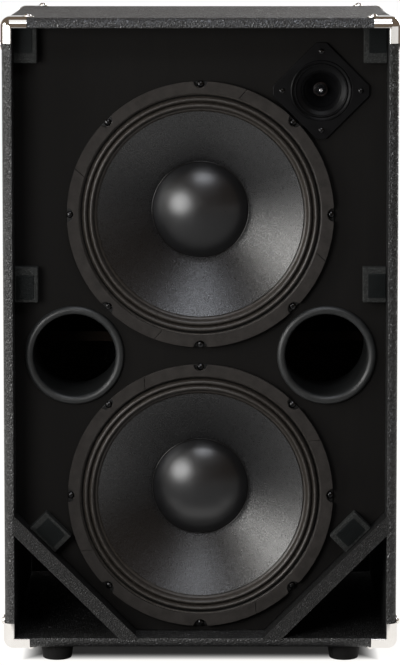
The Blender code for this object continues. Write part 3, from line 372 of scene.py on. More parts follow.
@dataclass(frozen=True)
class Finish:
    """A smooth moulded or painted surface, and the base of every other finish."""

    name: str
    slot: str
    dark: Colour
    light: Colour
    rough: Point = (0.4, 0.6)
    metallic: float = 0.0
    specular: float = 0.5
    coat: float = 0.0
    coat_rough: float = 0.25
    relief: float = 0.00005
    scale: float = 900.0
    wear: float = 0.0
    worn: Colour = (0.16, 0.15, 0.14)
    dust: float = 0.0
    dust_tone: Colour = (0.30, 0.28, 0.26)
    centre: Colour = (0.0, 0.0, 0.0)
    look: Look = Look.UP

    def pattern(self, w: Wiring, place: Socket) -> tuple[Socket, Socket]:
        """Mask between the two tones and height of the bump, from local metres."""
        cloud = w.span(w.noise(place, self.scale * 0.05, 4.0, 0.7), 0.3, 0.7)
        return cloud, w.noise(place, self.scale, 3.0, 0.6)

    def material(self) -> bpy.types.Material:
        """The material, made at its first use.

        Returns:
            The material with its node tree.
        """
        if self.name in bpy.data.materials:
            return bpy.data.materials[self.name]
        made = bpy.data.materials.new(self.name)
        w = Wiring.bare(made)
        place = w.out("ShaderNodeMapping",
                      {"Vector": w.node("ShaderNodeTexCoord").outputs["Object"],
                       "Location": self.centre, "Rotation": self.look.at().to_euler()},
                      vector_type="TEXTURE")
        mask, height = self.pattern(w, place)
        tone = w.mix(mask, self.dark, self.light)
        rough = w.span(mask, 0.0, 1.0, *self.rough)
        if self.wear:
            rubbed = Effect.WEAR.on(w, Vector=place, Amount=self.wear)["Mask"]
            tone = w.mix(rubbed, tone, self.worn)
        if self.dust:
            film = Effect.DUST.on(w, Vector=place, Amount=self.dust)["Mask"]
            tone = w.mix(film, tone, self.dust_tone)
            rough = w.math("MAXIMUM", rough, film)
        bump = w.out("ShaderNodeBump", {"Strength": 1.0, "Distance": self.relief,
                                        "Height": height})
        shader = w.out("ShaderNodeBsdfPrincipled",
                       {"Base Color": tone, "Roughness": rough, "Metallic": self.metallic,
                        "Specular IOR Level": self.specular, "Coat Weight": self.coat,
                        "Coat Roughness": self.coat_rough, "Normal": bump})
        w.node("ShaderNodeOutputMaterial", {"Surface": shader})
        return made


@dataclass(frozen=True)
class Vinyl(Finish):
    """Pebbled vinyl cloth, stuck over the boards."""

    def pattern(self, w: Wiring, place: Socket) -> tuple[Socket, Socket]:
        """Pebbles, darker into the creases between them as painted shade."""
        grain = Effect.PEBBLE.on(w, Vector=place, Scale=self.scale)
        return grain["Mask"], grain["Height"]


@dataclass(frozen=True)
class Timber(Finish):
    """Plywood veneer whose grain runs along local X."""

    stretch: Colour = (0.06, 1.0, 1.0)

    def pattern(self, w: Wiring, place: Socket) -> tuple[Socket, Socket]:
        """Long streaks of grain."""
        grain = Effect.STREAK.on(w, Vector=place, Stretch=self.stretch, Scale=self.scale)
        return grain["Mask"], grain["Height"]


@dataclass(frozen=True)
class Paper(Finish):
    """Pressed paper with faint rays from its middle, under uneven spots."""

    rays: float = 4.0
    spots: float = 3.0
    spot_scale: float = 650.0

    def pattern(self, w: Wiring, place: Socket) -> tuple[Socket, Socket]:
        """Rays and spots.

        Args:
            w: The material's wiring.
            place: Local coordinates in metres.

        Returns:
            The mask between the two tones, and the bump's height.
        """
        polar = Effect.POLAR.on(w, Vector=place)
        ray = w.vector("SCALE", {0: polar["Way"], "Scale": 0.5 + self.rays})
        fine = w.noise(w.vector("ADD", {0: ray, 1: w.joined({2: polar["Radius"]})}), 4.0, 4.0,
                       0.65)
        spots = w.noise(place, self.spot_scale, 3.0, 0.6)
        height = w.math("ADD", fine, w.times(spots, self.spots))
        return w.span(w.math("DIVIDE", height, 1.0 + self.spots), 0.38, 0.62), height


@dataclass(frozen=True)
class Cloth(Finish):
    """Woven cloth, stiffened or coated."""

    def pattern(self, w: Wiring, place: Socket) -> tuple[Socket, Socket]:
        """A plain weave."""
        weave = Effect.WEAVE.on(w, Vector=place, Scale=self.scale)
        return weave["Mask"], weave["Height"]


VINYL = Vinyl("vinyl_black", "textured_vinyl_plywood", (0.002, 0.002, 0.002),
              (0.048, 0.048, 0.0472), (0.48, 0.22), specular=0.68, relief=0.00090, scale=320.0,
              wear=0.25, dust=0.02)
# The same vinyl in a much darker copy for the corner-port boards: painted shade.
PORT_VINYL_SHADED = Vinyl("vinyl_port", "textured_vinyl_plywood", (0.002, 0.002, 0.002),
                   (0.012, 0.012, 0.0117), (0.55, 0.36), specular=0.35, relief=0.00045,
                   scale=400.0, wear=0.2)
BLOCK_VINYL = Vinyl("vinyl_block", "textured_vinyl_plywood", (0.010, 0.011, 0.010),
                    (0.042, 0.044, 0.042), (0.7, 0.5), specular=0.3, relief=0.0003, scale=620.0,
                    wear=0.2)
PAINTED = Timber("paint_on_plywood", "black_painted_plywood", (0.0066, 0.0060, 0.0055),
                 (0.0098, 0.0090, 0.0083), (0.7, 0.85), specular=0.10, relief=0.00008,
                 scale=420.0, look=Look.FRONT, stretch=(0.25, 0.04, 1.0))
# Black paint inside the recess and the ports, darker than the same paint on the baffle: real black
# paint with painted shade.
RECESS_PAINT_SHADED = Finish("paint_in_recess", "black_painted_plywood", (0.0035, 0.0033, 0.0032),
                (0.0065, 0.0062, 0.0060), (0.7, 0.85), specular=0.08, relief=0.00006)
BIRCH = Timber("birch_plywood", "bare_birch_plywood", (0.22, 0.135, 0.070),
               (0.34, 0.225, 0.125), (0.55, 0.7), specular=0.2, relief=0.00006, scale=300.0)
# A near-black copy of bare birch for the brace deep inside the box: painted shade.
BIRCH_IN_SHADE = Timber("stain_on_plywood", "bare_birch_plywood", (0.010, 0.006, 0.0035),
                 (0.018, 0.011, 0.006), (0.6, 0.8), specular=0.1, relief=0.00006, scale=300.0)
NICKEL = Finish("nickel_plate", "nickel_plated_steel", (0.88, 0.85, 0.81), (0.96, 0.94, 0.91),
                (0.05, 0.11), metallic=1.0, relief=0.00001, scale=500.0)
RUBBER = Finish("rubber_black", "black_rubber", (0.010, 0.010, 0.010), (0.020, 0.019, 0.018),
                (0.65, 0.85), specular=0.25, relief=0.00006, dust=0.1)
STEEL = Finish("steel_painted_black", "black_painted_steel", (0.005, 0.005, 0.005),
               (0.009, 0.009, 0.009), (0.35, 0.45), specular=0.25, relief=0.00003, wear=0.1)
GASKET = Finish("fibre_strip", "gasket_fibre", (0.024, 0.0213, 0.0194), (0.044, 0.0393, 0.0358),
                (0.7, 0.9), specular=0.12, relief=0.0001, scale=1400.0)
DOPED = Cloth("cloth_doped", "doped_cloth", (0.020, 0.0165, 0.0135), (0.055, 0.047, 0.040),
              (0.32, 0.46), specular=0.5, relief=0.00006, scale=1100.0, coat=0.1,
              look=Look.FRONT)
SPIDER = Cloth("cloth_spider", "spider_cloth", (0.30, 0.17, 0.05), (0.52, 0.34, 0.13),
               (0.6, 0.8), relief=0.0001, scale=1200.0, look=Look.FRONT)
COPPER = Finish("copper_wire", "copper_winding", (0.50, 0.20, 0.08), (0.70, 0.34, 0.16),
                (0.25, 0.4), metallic=1.0, relief=0.00002)
FORMER = Finish("former_foil", "copper_winding", (0.30, 0.19, 0.07), (0.42, 0.28, 0.12),
                (0.3, 0.4), coat=0.3, relief=0.00002)
ZINC = Finish("zinc_plate", "zinc_plated_steel", (0.48, 0.48, 0.46), (0.66, 0.66, 0.65),
              (0.28, 0.45), metallic=1.0, relief=0.00003)
FERRITE = Finish("ferrite", "ferrite_magnet", (0.030, 0.030, 0.034), (0.060, 0.060, 0.066),
                 (0.4, 0.7), relief=0.0001, scale=500.0)
PLASTIC = Finish("plastic_black", "black_plastic", (0.014, 0.0145, 0.015),
                 (0.024, 0.025, 0.026), (0.34, 0.48), relief=0.00005, scale=1600.0, dust=0.05)
HORN = Finish("plastic_horn", "black_plastic", (0.0026, 0.0026, 0.0029),
              (0.0042, 0.0042, 0.0047), (0.34, 0.42), specular=0.12, relief=0.00002,
              scale=1500.0)
BOWL = Finish("plastic_bowl", "black_plastic", (0.0050, 0.0022, 0.0022),
              (0.0085, 0.0036, 0.0036), (0.07, 0.12), specular=0.8, relief=0.000005,
              scale=900.0)
FILM = Finish("diaphragm_film", "bare_aluminium", (0.010, 0.005, 0.005),
              (0.020, 0.010, 0.009), (0.25, 0.35), specular=0.4, relief=0.00001)
# Grey metal on thin bands of the horn's black plastic rim and ledge: a painted highlight.
RIM_HIGHLIGHT = Finish("plastic_trim", "black_plastic", (0.20, 0.20, 0.21), (0.30, 0.30, 0.31),
              (0.10, 0.16), metallic=1.0, relief=0.000005)
LIP = Finish("plastic_lip", "black_plastic", (0.017, 0.018, 0.018), (0.028, 0.029, 0.029),
             (0.34, 0.46), specular=0.45, relief=0.00004, scale=1600.0)
# Near-black plastic inside the port tubes and on the plug's stem deep in the horn's throat:
# painted shade.
BORE_SHADE = Finish("plastic_bore", "black_plastic", (0.0010, 0.0010, 0.0010),
              (0.0018, 0.0018, 0.0018), (0.8, 0.95), specular=0.02, relief=0.00004)
ALUMINIUM = Finish("aluminium_satin", "bare_aluminium", (0.58, 0.59, 0.61),
                   (0.72, 0.73, 0.75), (0.22, 0.34), metallic=1.0, relief=0.00002)
SCREW = Finish("screw_black", "black_painted_steel", (0.030, 0.030, 0.031),
               (0.055, 0.055, 0.056), (0.14, 0.22), metallic=1.0, relief=0.00001)
HOOKS = Finish("hook_tape", "textured_vinyl_plywood", (0.004, 0.0055, 0.0055),
               (0.010, 0.012, 0.012), (0.5, 0.7), specular=0.15, relief=0.00003)
GLUE = Finish("glue_black", "cone_paper", (0.003, 0.003, 0.003), (0.006, 0.005, 0.005),
              (0.12, 0.25), specular=0.35, relief=0.00012, scale=500.0)
BOARD = Finish("board_green", "circuit_board", (0.012, 0.085, 0.035), (0.030, 0.16, 0.065),
               (0.3, 0.45), coat=0.3, relief=0.00003)
SLEEVE = Finish("capacitor_sleeve", "circuit_board", (0.02, 0.03, 0.10), (0.035, 0.05, 0.15),
                (0.3, 0.4), coat=0.3, relief=0.00002)
MARK = Finish("mark_white", "black_plastic", (0.55, 0.55, 0.53), (0.70, 0.70, 0.68),
              (0.5, 0.6), relief=0.00002)


# Meshes

def fillet(corners: Section, steps: int = 5, closed: bool = True) -> list[Point]:
    """Round the corners of a section.

    Args:
        corners: (x, y) or (x, y, radius) of each corner.
        steps: Chords in each rounded corner.
        closed: Whether the last corner joins the first.

    Returns:
        The points of the section.
    """
    points: list[Point] = []
    for i, corner in enumerate(corners):
        here = Vector(corner[:2])
        radius = corner[2] if len(corner) > 2 else 0.0
        if radius <= 0.0 or (not closed and i in (0, len(corners) - 1)):
            points.append((here.x, here.y))
            continue
        before = (Vector(corners[i - 1][:2]) - here).normalized()
        after = (Vector(corners[(i + 1) % len(corners)][:2]) - here).normalized()
        half = before.angle(after) / 2
        centre = here + (before + after).normalized() * (radius / math.sin(half))
        reach = radius / math.tan(half)
        start, end = (here + way * reach - centre for way in (before, after))
        first = math.atan2(start.y, start.x)
        sweep = (math.atan2(end.y, end.x) - first + math.pi) % (2 * math.pi) - math.pi
        points += [polar(radius, first + sweep * k / steps, centre.x, centre.y)
                   for k in range(steps + 1)]
    return points


def polar(radius: float, angle: float, x: float = 0.0, y: float = 0.0) -> Point:
    """A point at a distance and an angle from another one."""
    return x + radius * math.cos(angle), y + radius * math.sin(angle)


def circle(radius: float, steps: int = 64, x: float = 0.0, y: float = 0.0) -> list[Point]:
    """An anticlockwise outline of a disc."""
    return [polar(radius, 2 * math.pi * i / steps, x, y) for i in range(steps)]


def steps_between(start: float, end: float, steps: int) -> list[float]:
    """Evenly spaced values with both ends."""
    return [start + (end - start) * i / steps for i in range(steps + 1)]


def oblong(width: float, height: float, radius: float, steps: int = 6, x: float = 0.0,
           y: float = 0.0) -> list[Point]:
    """An anticlockwise outline of a rectangle with rounded corners.

    Args:
        width: Its size along X.
        height: Its size along Y.
        radius: Radius of its corners.
        steps: Chords in each corner.
        x: X of its middle.
        y: Y of its middle.

    Returns:
        The outline.
    """
    corners = ((-1, -1), (1, -1), (1, 1), (-1, 1))
    return fillet([(x + i * (width / 2), y + k * (height / 2), radius) for i, k in corners],
                  steps)


def shrink(outline: Sequence[Point], inset: float) -> list[Point]:
    """Move an anticlockwise outline inwards, with mitred corners.

    Args:
        outline: The outline.
        inset: How far it moves, or less than 0 for outwards.

    Returns:
        The moved outline.
    """
    if not inset:
        return list(outline)
    moved = []
    for i, point in enumerate(outline):
        here = Vector(point)
        before = (here - Vector(outline[i - 1])).normalized()
        after = (Vector(outline[(i + 1) % len(outline)]) - here).normalized()
        inward = [Vector((-way.y, way.x)) for way in (before, after)]
        middle = (inward[0] + inward[1]).normalized()
        reach = inset / max(middle.dot(inward[0]), 0.3)
        moved.append((here.x + middle.x * reach, here.y + middle.y * reach))
    return moved


def rim(low: float, high: float, edge: float, steps: int = 3) -> list[Point]:
    """Inset and height of the rings from a plate's lower face to its upper one.

    Args:
        low: Height of the lower face.
        high: Height of the upper face.
        edge: Radius of the edges, or 0 for sharp ones.
        steps: Chords in each rounded edge.

    Returns:
        The rings' insets and heights.
    """
    if not edge:
        return [(0.0, low), (0.0, high)]
    lower = [(edge * (1 - math.sin(a)), low + edge * (1 - math.cos(a)))
             for a in steps_between(0.0, math.pi / 2, steps)]
    return lower + [(inset, high + low - z) for inset, z in reversed(lower)]


def bridge(form: bmesh.types.BMesh, rings: Sequence[Sequence[bmesh.types.BMVert]],
           keep: Callable[[int, int], bool] = lambda row, i: True) -> None:
    """Add faces between neighbouring rings of equal length.

    Args:
        form: The form that holds them.
        rings: The rings in order.
        keep: Whether the face after a ring and a vertex is there.
    """
    for row, (low, high) in enumerate(zip(rings, rings[1:])):
        for i in range(len(low)):
            k = (i + 1) % len(low)
            if keep(row, i):
                form.faces.new((low[i], low[k], high[k], high[i]))


def put(name: str, data: bpy.types.ID | None) -> bpy.types.Object:
    """Put an object with this data in the scene.

    Args:
        name: The object's name.
        data: Its mesh, lamp or camera.

    Returns:
        The object.
    """
    made = bpy.data.objects.new(name, data)
    bpy.context.scene.collection.objects.link(made)
    return made


def evaluated(holder: bpy.types.Object) -> bpy.types.Mesh:
    """Use up an object and its mesh, and keep what its modifiers make.

    Args:
        holder: The object.

    Returns:
        The new mesh.
    """
    graph = bpy.context.evaluated_depsgraph_get()
    made = bpy.data.meshes.new_from_object(holder.evaluated_get(graph))
    mesh = holder.data
    bpy.data.objects.remove(holder, do_unlink=True)
    bpy.data.meshes.remove(mesh)
    return made


def baked(mesh: bpy.types.Mesh, *steps: tuple[str, dict]) -> bpy.types.Mesh:
    """Run modifiers on a mesh and keep what they make.

    Args:
        mesh: The mesh, which is used up.
        steps: Type and settings of each modifier.

    Returns:
        The new mesh.
    """
    holder = put("holder", mesh)
    for kind, settings in steps:
        step = holder.modifiers.new(kind, kind)
        for key, value in settings.items():
            setattr(step, key, value)
    return evaluated(holder)


def carved(mesh: bpy.types.Mesh, *tools: bpy.types.Mesh, operation: str = "DIFFERENCE"
           ) -> bpy.types.Mesh:
    """Cut tools out of a mesh, or join them with it.

    Args:
        mesh: The mesh, which is used up.
        tools: The tools.
        operation: DIFFERENCE or UNION.

    Returns:
        The new mesh.
    """
    holders = [put("tool", tool) for tool in tools]
    made = baked(mesh, *[("BOOLEAN", {"operation": operation, "solver": "EXACT",
                                      "object": holder}) for holder in holders])
    for holder in holders:
        bpy.data.objects.remove(holder, do_unlink=True)
    return made


def eased(mesh: bpy.types.Mesh, width: float, segments: int, angle: float) -> bpy.types.Mesh:
    """Round the edges that are sharper than an angle in degrees."""
    return baked(mesh, ("BEVEL", {"width": width, "segments": segments, "limit_method": "ANGLE",
                                  "angle_limit": math.radians(angle)}))


def merged(mesh: bpy.types.Mesh, other: bpy.types.Mesh) -> bpy.types.Mesh:
    """Add a mesh to another one.

    Args:
        mesh: The mesh that grows.
        other: The mesh that is used up.

    Returns:
        The first mesh.
    """
    work = bmesh.new()
    work.from_mesh(mesh)
    work.from_mesh(other)
    work.to_mesh(mesh)
    work.free()
    bpy.data.meshes.remove(other)
    return mesh


class Shape:
    """Closed forms collected into one mesh, in one local frame.

    Each method that adds a form gives this shape back. A tint is the number of the form's finish,
    or a rule that gives it from a face's middle, and a shift places the form in the local frame.
    """

    def __init__(self, where: Matrix | None = None) -> None:
        """Start empty, with the local frame that the forms are drawn in."""
        self.work = bmesh.new()
        self.where = where or Matrix()

    def take(self, form: bmesh.types.BMesh, tint: Tint = 0, shift: Matrix | None = None
             ) -> "Shape":
        """Add a closed form.

        Args:
            form: The form, which is used up.
            tint: Number or rule of the finish.
            shift: Where it goes.

        Returns:
            This shape.
        """
        bmesh.ops.remove_doubles(form, verts=form.verts, dist=1e-6)
        bmesh.ops.recalc_face_normals(form, faces=form.faces)
        if form.calc_volume(signed=True) < 0:
            bmesh.ops.reverse_faces(form, faces=form.faces)
        for face in form.faces:
            face.material_index = tint(face.calc_center_median()) if callable(tint) else tint
        form.transform(self.where @ (shift or Matrix()))
        held = bpy.data.meshes.new("held")
        form.to_mesh(held)
        form.free()
        self.work.from_mesh(held)
        bpy.data.meshes.remove(held)
        return self

    def turn(self, profile: Section, rounding: int = 0, steps: int = 96, tint: Tint = 0,
             shift: Matrix | None = None) -> "Shape":
        """Turn a (radius, height) section once round the local Z axis.

        Args:
            profile: A closed section, or one that starts and ends on the axis.
            rounding: Chords in each rounded corner, or 0 where none is rounded.
            steps: Facets round.
            tint: Number or rule of the finish.
            shift: Where it goes.

        Returns:
            This shape.
        """
        closed = profile[0][0] > 1e-9 or profile[-1][0] > 1e-9
        if rounding:
            profile = fillet(profile, rounding, closed)
        form = bmesh.new()
        verts = [form.verts.new((radius, 0.0, z)) for radius, z in profile]
        edges = [form.edges.new(pair) for pair in zip(verts, verts[1:])]
        if closed:
            edges.append(form.edges.new((verts[-1], verts[0])))
        bmesh.ops.spin(form, geom=verts + edges, cent=(0, 0, 0), axis=(0, 0, 1),
                       angle=2 * math.pi, steps=steps, use_merge=True)
        return self.take(form, tint, shift)

    def loft(self, rings: Sequence[Sequence[Vector]], loop: bool = False, tint: Tint = 0,
             shift: Matrix | None = None) -> "Shape":
        """Join closed rings of equal length.

        Args:
            rings: The rings in order.
            loop: Whether the last ring joins the first; otherwise both ends are capped.
            tint: Number or rule of the finish.
            shift: Where it goes.

        Returns:
            This shape.
        """
        form = bmesh.new()
        rows = [[form.verts.new(point) for point in ring] for ring in rings]
        bridge(form, rows + rows[:1] if loop else rows)
        if not loop:
            form.faces.new(rows[0])
            form.faces.new(rows[-1])
        return self.take(form, tint, shift)

    def plate(self, outline: Sequence[Point], low: float, high: float, edge: float = 0.0,
              holes: Sequence[Sequence[Point]] = (), tint: Tint = 0) -> "Shape":
        """A flat plate with rounded edges.

        Args:
            outline: Its anticlockwise outline.
            low: Height of its lower face.
            high: Height of its upper face.
            edge: Radius of its edges, in its holes too.
            holes: Anticlockwise outlines of its holes.
            tint: Number or rule of the finish.

        Returns:
            This shape.
        """
        form = bmesh.new()
        caps: list[list] = [[], []]
        for loop, sign in [(outline, 1.0)] + [(hole, -1.0) for hole in holes]:
            rows = [[form.verts.new((x, y, z)) for x, y in shrink(loop, sign * inset)]
                    for inset, z in rim(low, high, edge)]
            bridge(form, rows)
            for cap, row in zip(caps, (rows[0], rows[-1])):
                cap += [form.edges.get((row[i - 1], row[i])) for i in range(len(row))]
        for cap in caps:
            bmesh.ops.triangle_fill(form, use_beauty=True, edges=cap, normal=(0, 0, 1))
        return self.take(form, tint)

    def block(self, low: Sequence[float], high: Sequence[float], edge: float, tint: Tint = 0,
              shift: Matrix | None = None) -> "Shape":
        """A box with all its edges rounded.

        Args:
            low: Its lowest corner.
            high: Its highest corner.
            edge: Radius of its edges.
            tint: Number or rule of the finish.
            shift: Where it goes.

        Returns:
            This shape.
        """
        form = bmesh.new()
        bmesh.ops.create_cube(form, size=1.0)
        bmesh.ops.scale(form, vec=Vector(high) - Vector(low), verts=form.verts)
        bmesh.ops.translate(form, vec=(Vector(high) + Vector(low)) / 2, verts=form.verts)
        bmesh.ops.bevel(form, geom=form.edges[:], offset=edge, segments=3, profile=0.5,
                        affect="EDGES")
        return self.take(form, tint, shift)

    def rod(self, path: Sequence[Sequence[float]], radius: float, tint: Tint, sides: int
            ) -> "Shape":
        """A round wire along a path.

        Args:
            path: Points of its middle line.
            radius: Its radius.
            tint: Number of its finish.
            sides: Facets round.

        Returns:
            This shape.
        """
        points = [Vector(point) for point in path]
        rings = []
        for i, point in enumerate(points):
            way = (points[min(i + 1, len(points) - 1)] - points[max(i - 1, 0)]).normalized()
            turn = way.to_track_quat("Z", "Y")
            rings.append([point + turn @ Vector((x, y, 0.0)) for x, y in circle(radius, sides)])
        return self.loft(rings, tint=tint)

    def mesh(self, name: str = "form") -> bpy.types.Mesh:
        """End as a plain mesh.

        Args:
            name: The mesh's name.

        Returns:
            The mesh.
        """
        made = bpy.data.meshes.new(name)
        self.work.to_mesh(made)
        self.work.free()
        return made

    def done(self, name: str, finishes: Sequence[Finish], node: str = "",
             body: Body = Body.CABINET, crease: float = 38.0) -> bpy.types.Object:
        """End as a piece of the cabinet."""
        return enrol(name, self.mesh(name), finishes, (node,) if node else (), body, crease)


def enrol(name: str, mesh: bpy.types.Mesh, finishes: Sequence[Finish],
          nodes: Sequence[str] = (), body: Body | None = Body.CABINET, crease: float = 38.0
          ) -> bpy.types.Object:
    """Make a mesh a piece that rides on a body and stands for nodes of the frame.

    Args:
        name: The piece's name.
        mesh: Its mesh in place, which is used up.
        finishes: Its finishes in the order of their numbers.
        nodes: The nodes that it replaces.
        body: The body it rides on, or none for a piece that rides on no body.
        crease: Angle in degrees past which an edge stays sharp.

    Returns:
        The piece.
    """
    mesh.materials.clear()
    for finish in finishes:
        mesh.materials.append(finish.material())
    mesh.shade_smooth()
    mesh.set_sharp_from_angle(angle=math.radians(crease))
    mesh = baked(mesh, ("WEIGHTED_NORMAL", {"keep_sharp": True}))
    mesh.name = name
    piece = put(name, mesh)
    if body:
        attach(piece, body.value)
    if nodes:
        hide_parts(*nodes)
    LOG.info("%s: %d faces", name, len(mesh.polygons))
    return piece


# Geometry node trees

class Recipe:
    """A geometry node tree with named inputs, whose results are kept as plain meshes."""

    def __init__(self, name: str, sockets: dict[str, str]) -> None:
        """Start the tree.

        Args:
            name: The tree's name.
            sockets: Type of each named input.
        """
        self.tree = bpy.data.node_groups.new(name, "GeometryNodeTree")
        face = self.tree.interface
        for label, kind in ({"Geometry": "Geometry"} | sockets | {"Material": "Material"}).items():
            face.new_socket(label, in_out="INPUT", socket_type="NodeSocket" + kind)
        face.new_socket("Geometry", in_out="OUTPUT", socket_type="NodeSocketGeometry")
        self.wires = Wiring(self.tree)
        self.given = self.wires.node("NodeGroupInput").outputs

    def end(self, geometry: Socket) -> None:
        """End the tree in real geometry with its material.

        Args:
            geometry: What the tree has made.
        """
        real = self.wires.out("GeometryNodeRealizeInstances", {0: geometry})
        dressed = self.wires.out("GeometryNodeSetMaterial",
                                 {"Geometry": real, "Material": self.given["Material"]})
        self.wires.node("NodeGroupOutput", {0: dressed})

    def grow(self, finish: Finish, source: bpy.types.Mesh | None = None, **values: object
             ) -> bpy.types.Mesh:
        """Run the tree.

        Args:
            finish: The finish of what it makes.
            source: The mesh whose points it starts from.
            values: Its inputs, with _ for the spaces in their names.

        Returns:
            A plain mesh.
        """
        given = {key.replace("_", " "): value for key, value in values.items()}
        given["Material"] = finish.material()
        holder = put("grower", source or bpy.data.meshes.new("none"))
        step = holder.modifiers.new("grow", "NODES")
        step.node_group = self.tree
        for item in self.tree.interface.items_tree:
            if item.in_out == "INPUT" and item.name in given:
                step[item.identifier] = given[item.name]
        return evaluated(holder)


class Fixings(Recipe):
    """Screws or ribs on points, each turned to face its own way."""

    def __init__(self) -> None:
        """Build the tree."""
        super().__init__("fixings", {"Pattern": "Object", "Size": "Float", "Twist": "Float",
                                     "Seed": "Int"})
        w, given = self.wires, self.given
        pattern = w.node("GeometryNodeObjectInfo", {"Object": given["Pattern"]})
        facing = w.node("GeometryNodeInputNamedAttribute", {"Name": "facing"},
                        data_type="FLOAT_VECTOR").outputs["Attribute"]
        upright = w.out("FunctionNodeAlignRotationToVector", {"Vector": facing}, axis="Z")
        placed = w.out("GeometryNodeInstanceOnPoints",
                       {"Points": given["Geometry"], "Instance": pattern.outputs["Geometry"],
                        "Rotation": upright, "Scale": given["Size"]})
        slant = w.node("FunctionNodeRandomValue", {3: given["Twist"], "Seed": given["Seed"]},
                       data_type="FLOAT").outputs[1]
        self.end(w.out("GeometryNodeRotateInstances",
                       {"Instances": placed, "Rotation": w.joined({2: slant}),
                        "Local Space": True}))

    def put(self, pattern: bpy.types.Object, places: Sequence[Place], size: float,
            finish: Finish, seed: int, twist: float = 6.28) -> bpy.types.Mesh:
        """Put a pattern at each (point, facing) place.

        Args:
            pattern: The object to repeat.
            places: Point and facing of each.
            size: Scale of the pattern.
            finish: The finish of all.
            seed: Seed of the random twist.
            twist: Most that one is turned about its own facing.

        Returns:
            One mesh of them all.
        """
        source = bpy.data.meshes.new("places")
        source.from_pydata([point for point, _ in places], [], [])
        facing = source.attributes.new("facing", "FLOAT_VECTOR", "POINT")
        for item, (_, way) in zip(facing.data, places):
            item.vector = way
        return self.grow(finish, source, Pattern=pattern, Size=size, Seed=seed, Twist=twist)


class HookField(Recipe):
    """Rows of small mushroom hooks on a rectangle, a little out of line."""

    stray: float = 0.25
    stem: float = 0.14
    head: float = 0.33
    flatness: float = 0.6

    def __init__(self) -> None:
        """Build the tree."""
        super().__init__("hook_field", {"Width": "Float", "Length": "Float", "Pitch": "Float",
                                        "Height": "Float", "Seed": "Int"})
        w, given = self.wires, self.given
        pitch, height = given["Pitch"], given["Height"]
        across, along = (w.math("ADD", w.math("FLOOR", w.math("DIVIDE", given[side], pitch)),
                                1.0) for side in ("Width", "Length"))
        grid = w.out("GeometryNodeMeshGrid", {"Size X": given["Width"],
                                              "Size Y": given["Length"],
                                              "Vertices X": across, "Vertices Y": along})
        reach = w.times(pitch, self.stray)
        spread = w.joined({0: reach, 1: reach, 2: reach})
        less = w.vector("MULTIPLY", {0: spread, 1: (-1.0, -1.0, -1.0)})
        stray = w.out("FunctionNodeRandomValue", {0: less, 1: spread, "Seed": given["Seed"]},
                      data_type="FLOAT_VECTOR")
        points = w.out("GeometryNodeSetPosition", {"Geometry": grid, "Offset": stray})
        stem = w.out("GeometryNodeMeshCylinder",
                     {"Vertices": 5, "Radius": w.times(pitch, self.stem),
                      "Depth": w.times(height, 2.0)})
        head = w.out("GeometryNodeMeshIcoSphere",
                     {"Radius": w.times(pitch, self.head), "Subdivisions": 1})
        lifted = w.out("GeometryNodeTransform",
                       {"Geometry": head, "Scale": (1.0, 1.0, self.flatness),
                        "Translation": w.joined({2: height})})
        hook = w.node("GeometryNodeJoinGeometry")
        for part in (stem, lifted):
            w.tree.links.new(part, hook.inputs[0])
        self.end(w.out("GeometryNodeInstanceOnPoints",
                       {"Points": points, "Instance": hook.outputs[0]}))


class RolledRing(Recipe):
    """A ring whose section is a run of equal rolls between two flats."""

    groove_width: float = 0.0030
    weld: float = 1e-5

    def __init__(self) -> None:
        """Build the tree."""
        floats = ("Outer", "Rolls Outer", "Rolls Inner", "Inner", "Waves", "Height", "Power",
                  "Dip", "Fall")
        super().__init__("rolled_ring",
                         dict.fromkeys(floats, "Float") | {"Rows": "Int", "Steps": "Int"})
        w, given = self.wires, self.given
        grid = w.out("GeometryNodeMeshGrid", {"Size X": 1.0, "Size Y": 1.0,
                                              "Vertices X": given["Rows"],
                                              "Vertices Y": given["Steps"]})
        x, y, _ = w.axes(w.out("GeometryNodeInputPosition"))
        turns = w.times(w.math("ADD", y, 0.5), 2 * math.pi)
        radius = w.math("MULTIPLY_ADD", w.math("ADD", x, 0.5),
                        w.math("SUBTRACT", given["Inner"], given["Outer"]), given["Outer"])
        inside = w.math("SUBTRACT", given["Rolls Outer"], radius)
        width = w.math("SUBTRACT", given["Rolls Outer"], given["Rolls Inner"])
        share = w.out("ShaderNodeClamp", {"Value": w.math("DIVIDE", inside, width)})
        wave = w.math("ABSOLUTE", w.math("SINE", w.times(w.times(share, given["Waves"]),
                                                         math.pi)))
        roll = w.times(w.math("POWER", wave, given["Power"]), given["Height"])
        beyond = w.math("MAXIMUM", w.math("SUBTRACT", given["Rolls Inner"], radius), 0.0)
        fallen = w.math("SUBTRACT", roll, w.times(beyond, given["Fall"]))
        sunk = w.out("ShaderNodeMapRange",
                     {"Value": inside, "From Min": -self.groove_width, "From Max": 0.0,
                      "To Max": given["Dip"]}, interpolation_type="SMOOTHSTEP")
        place = w.joined({0: w.times(radius, w.math("COSINE", turns)),
                          1: w.times(radius, w.math("SINE", turns)),
                          2: w.math("SUBTRACT", fallen, sunk)})
        bent = w.out("GeometryNodeSetPosition", {"Geometry": grid, "Position": place})
        self.end(w.out("GeometryNodeMergeByDistance", {"Geometry": bent,
                                                       "Distance": self.weld}))


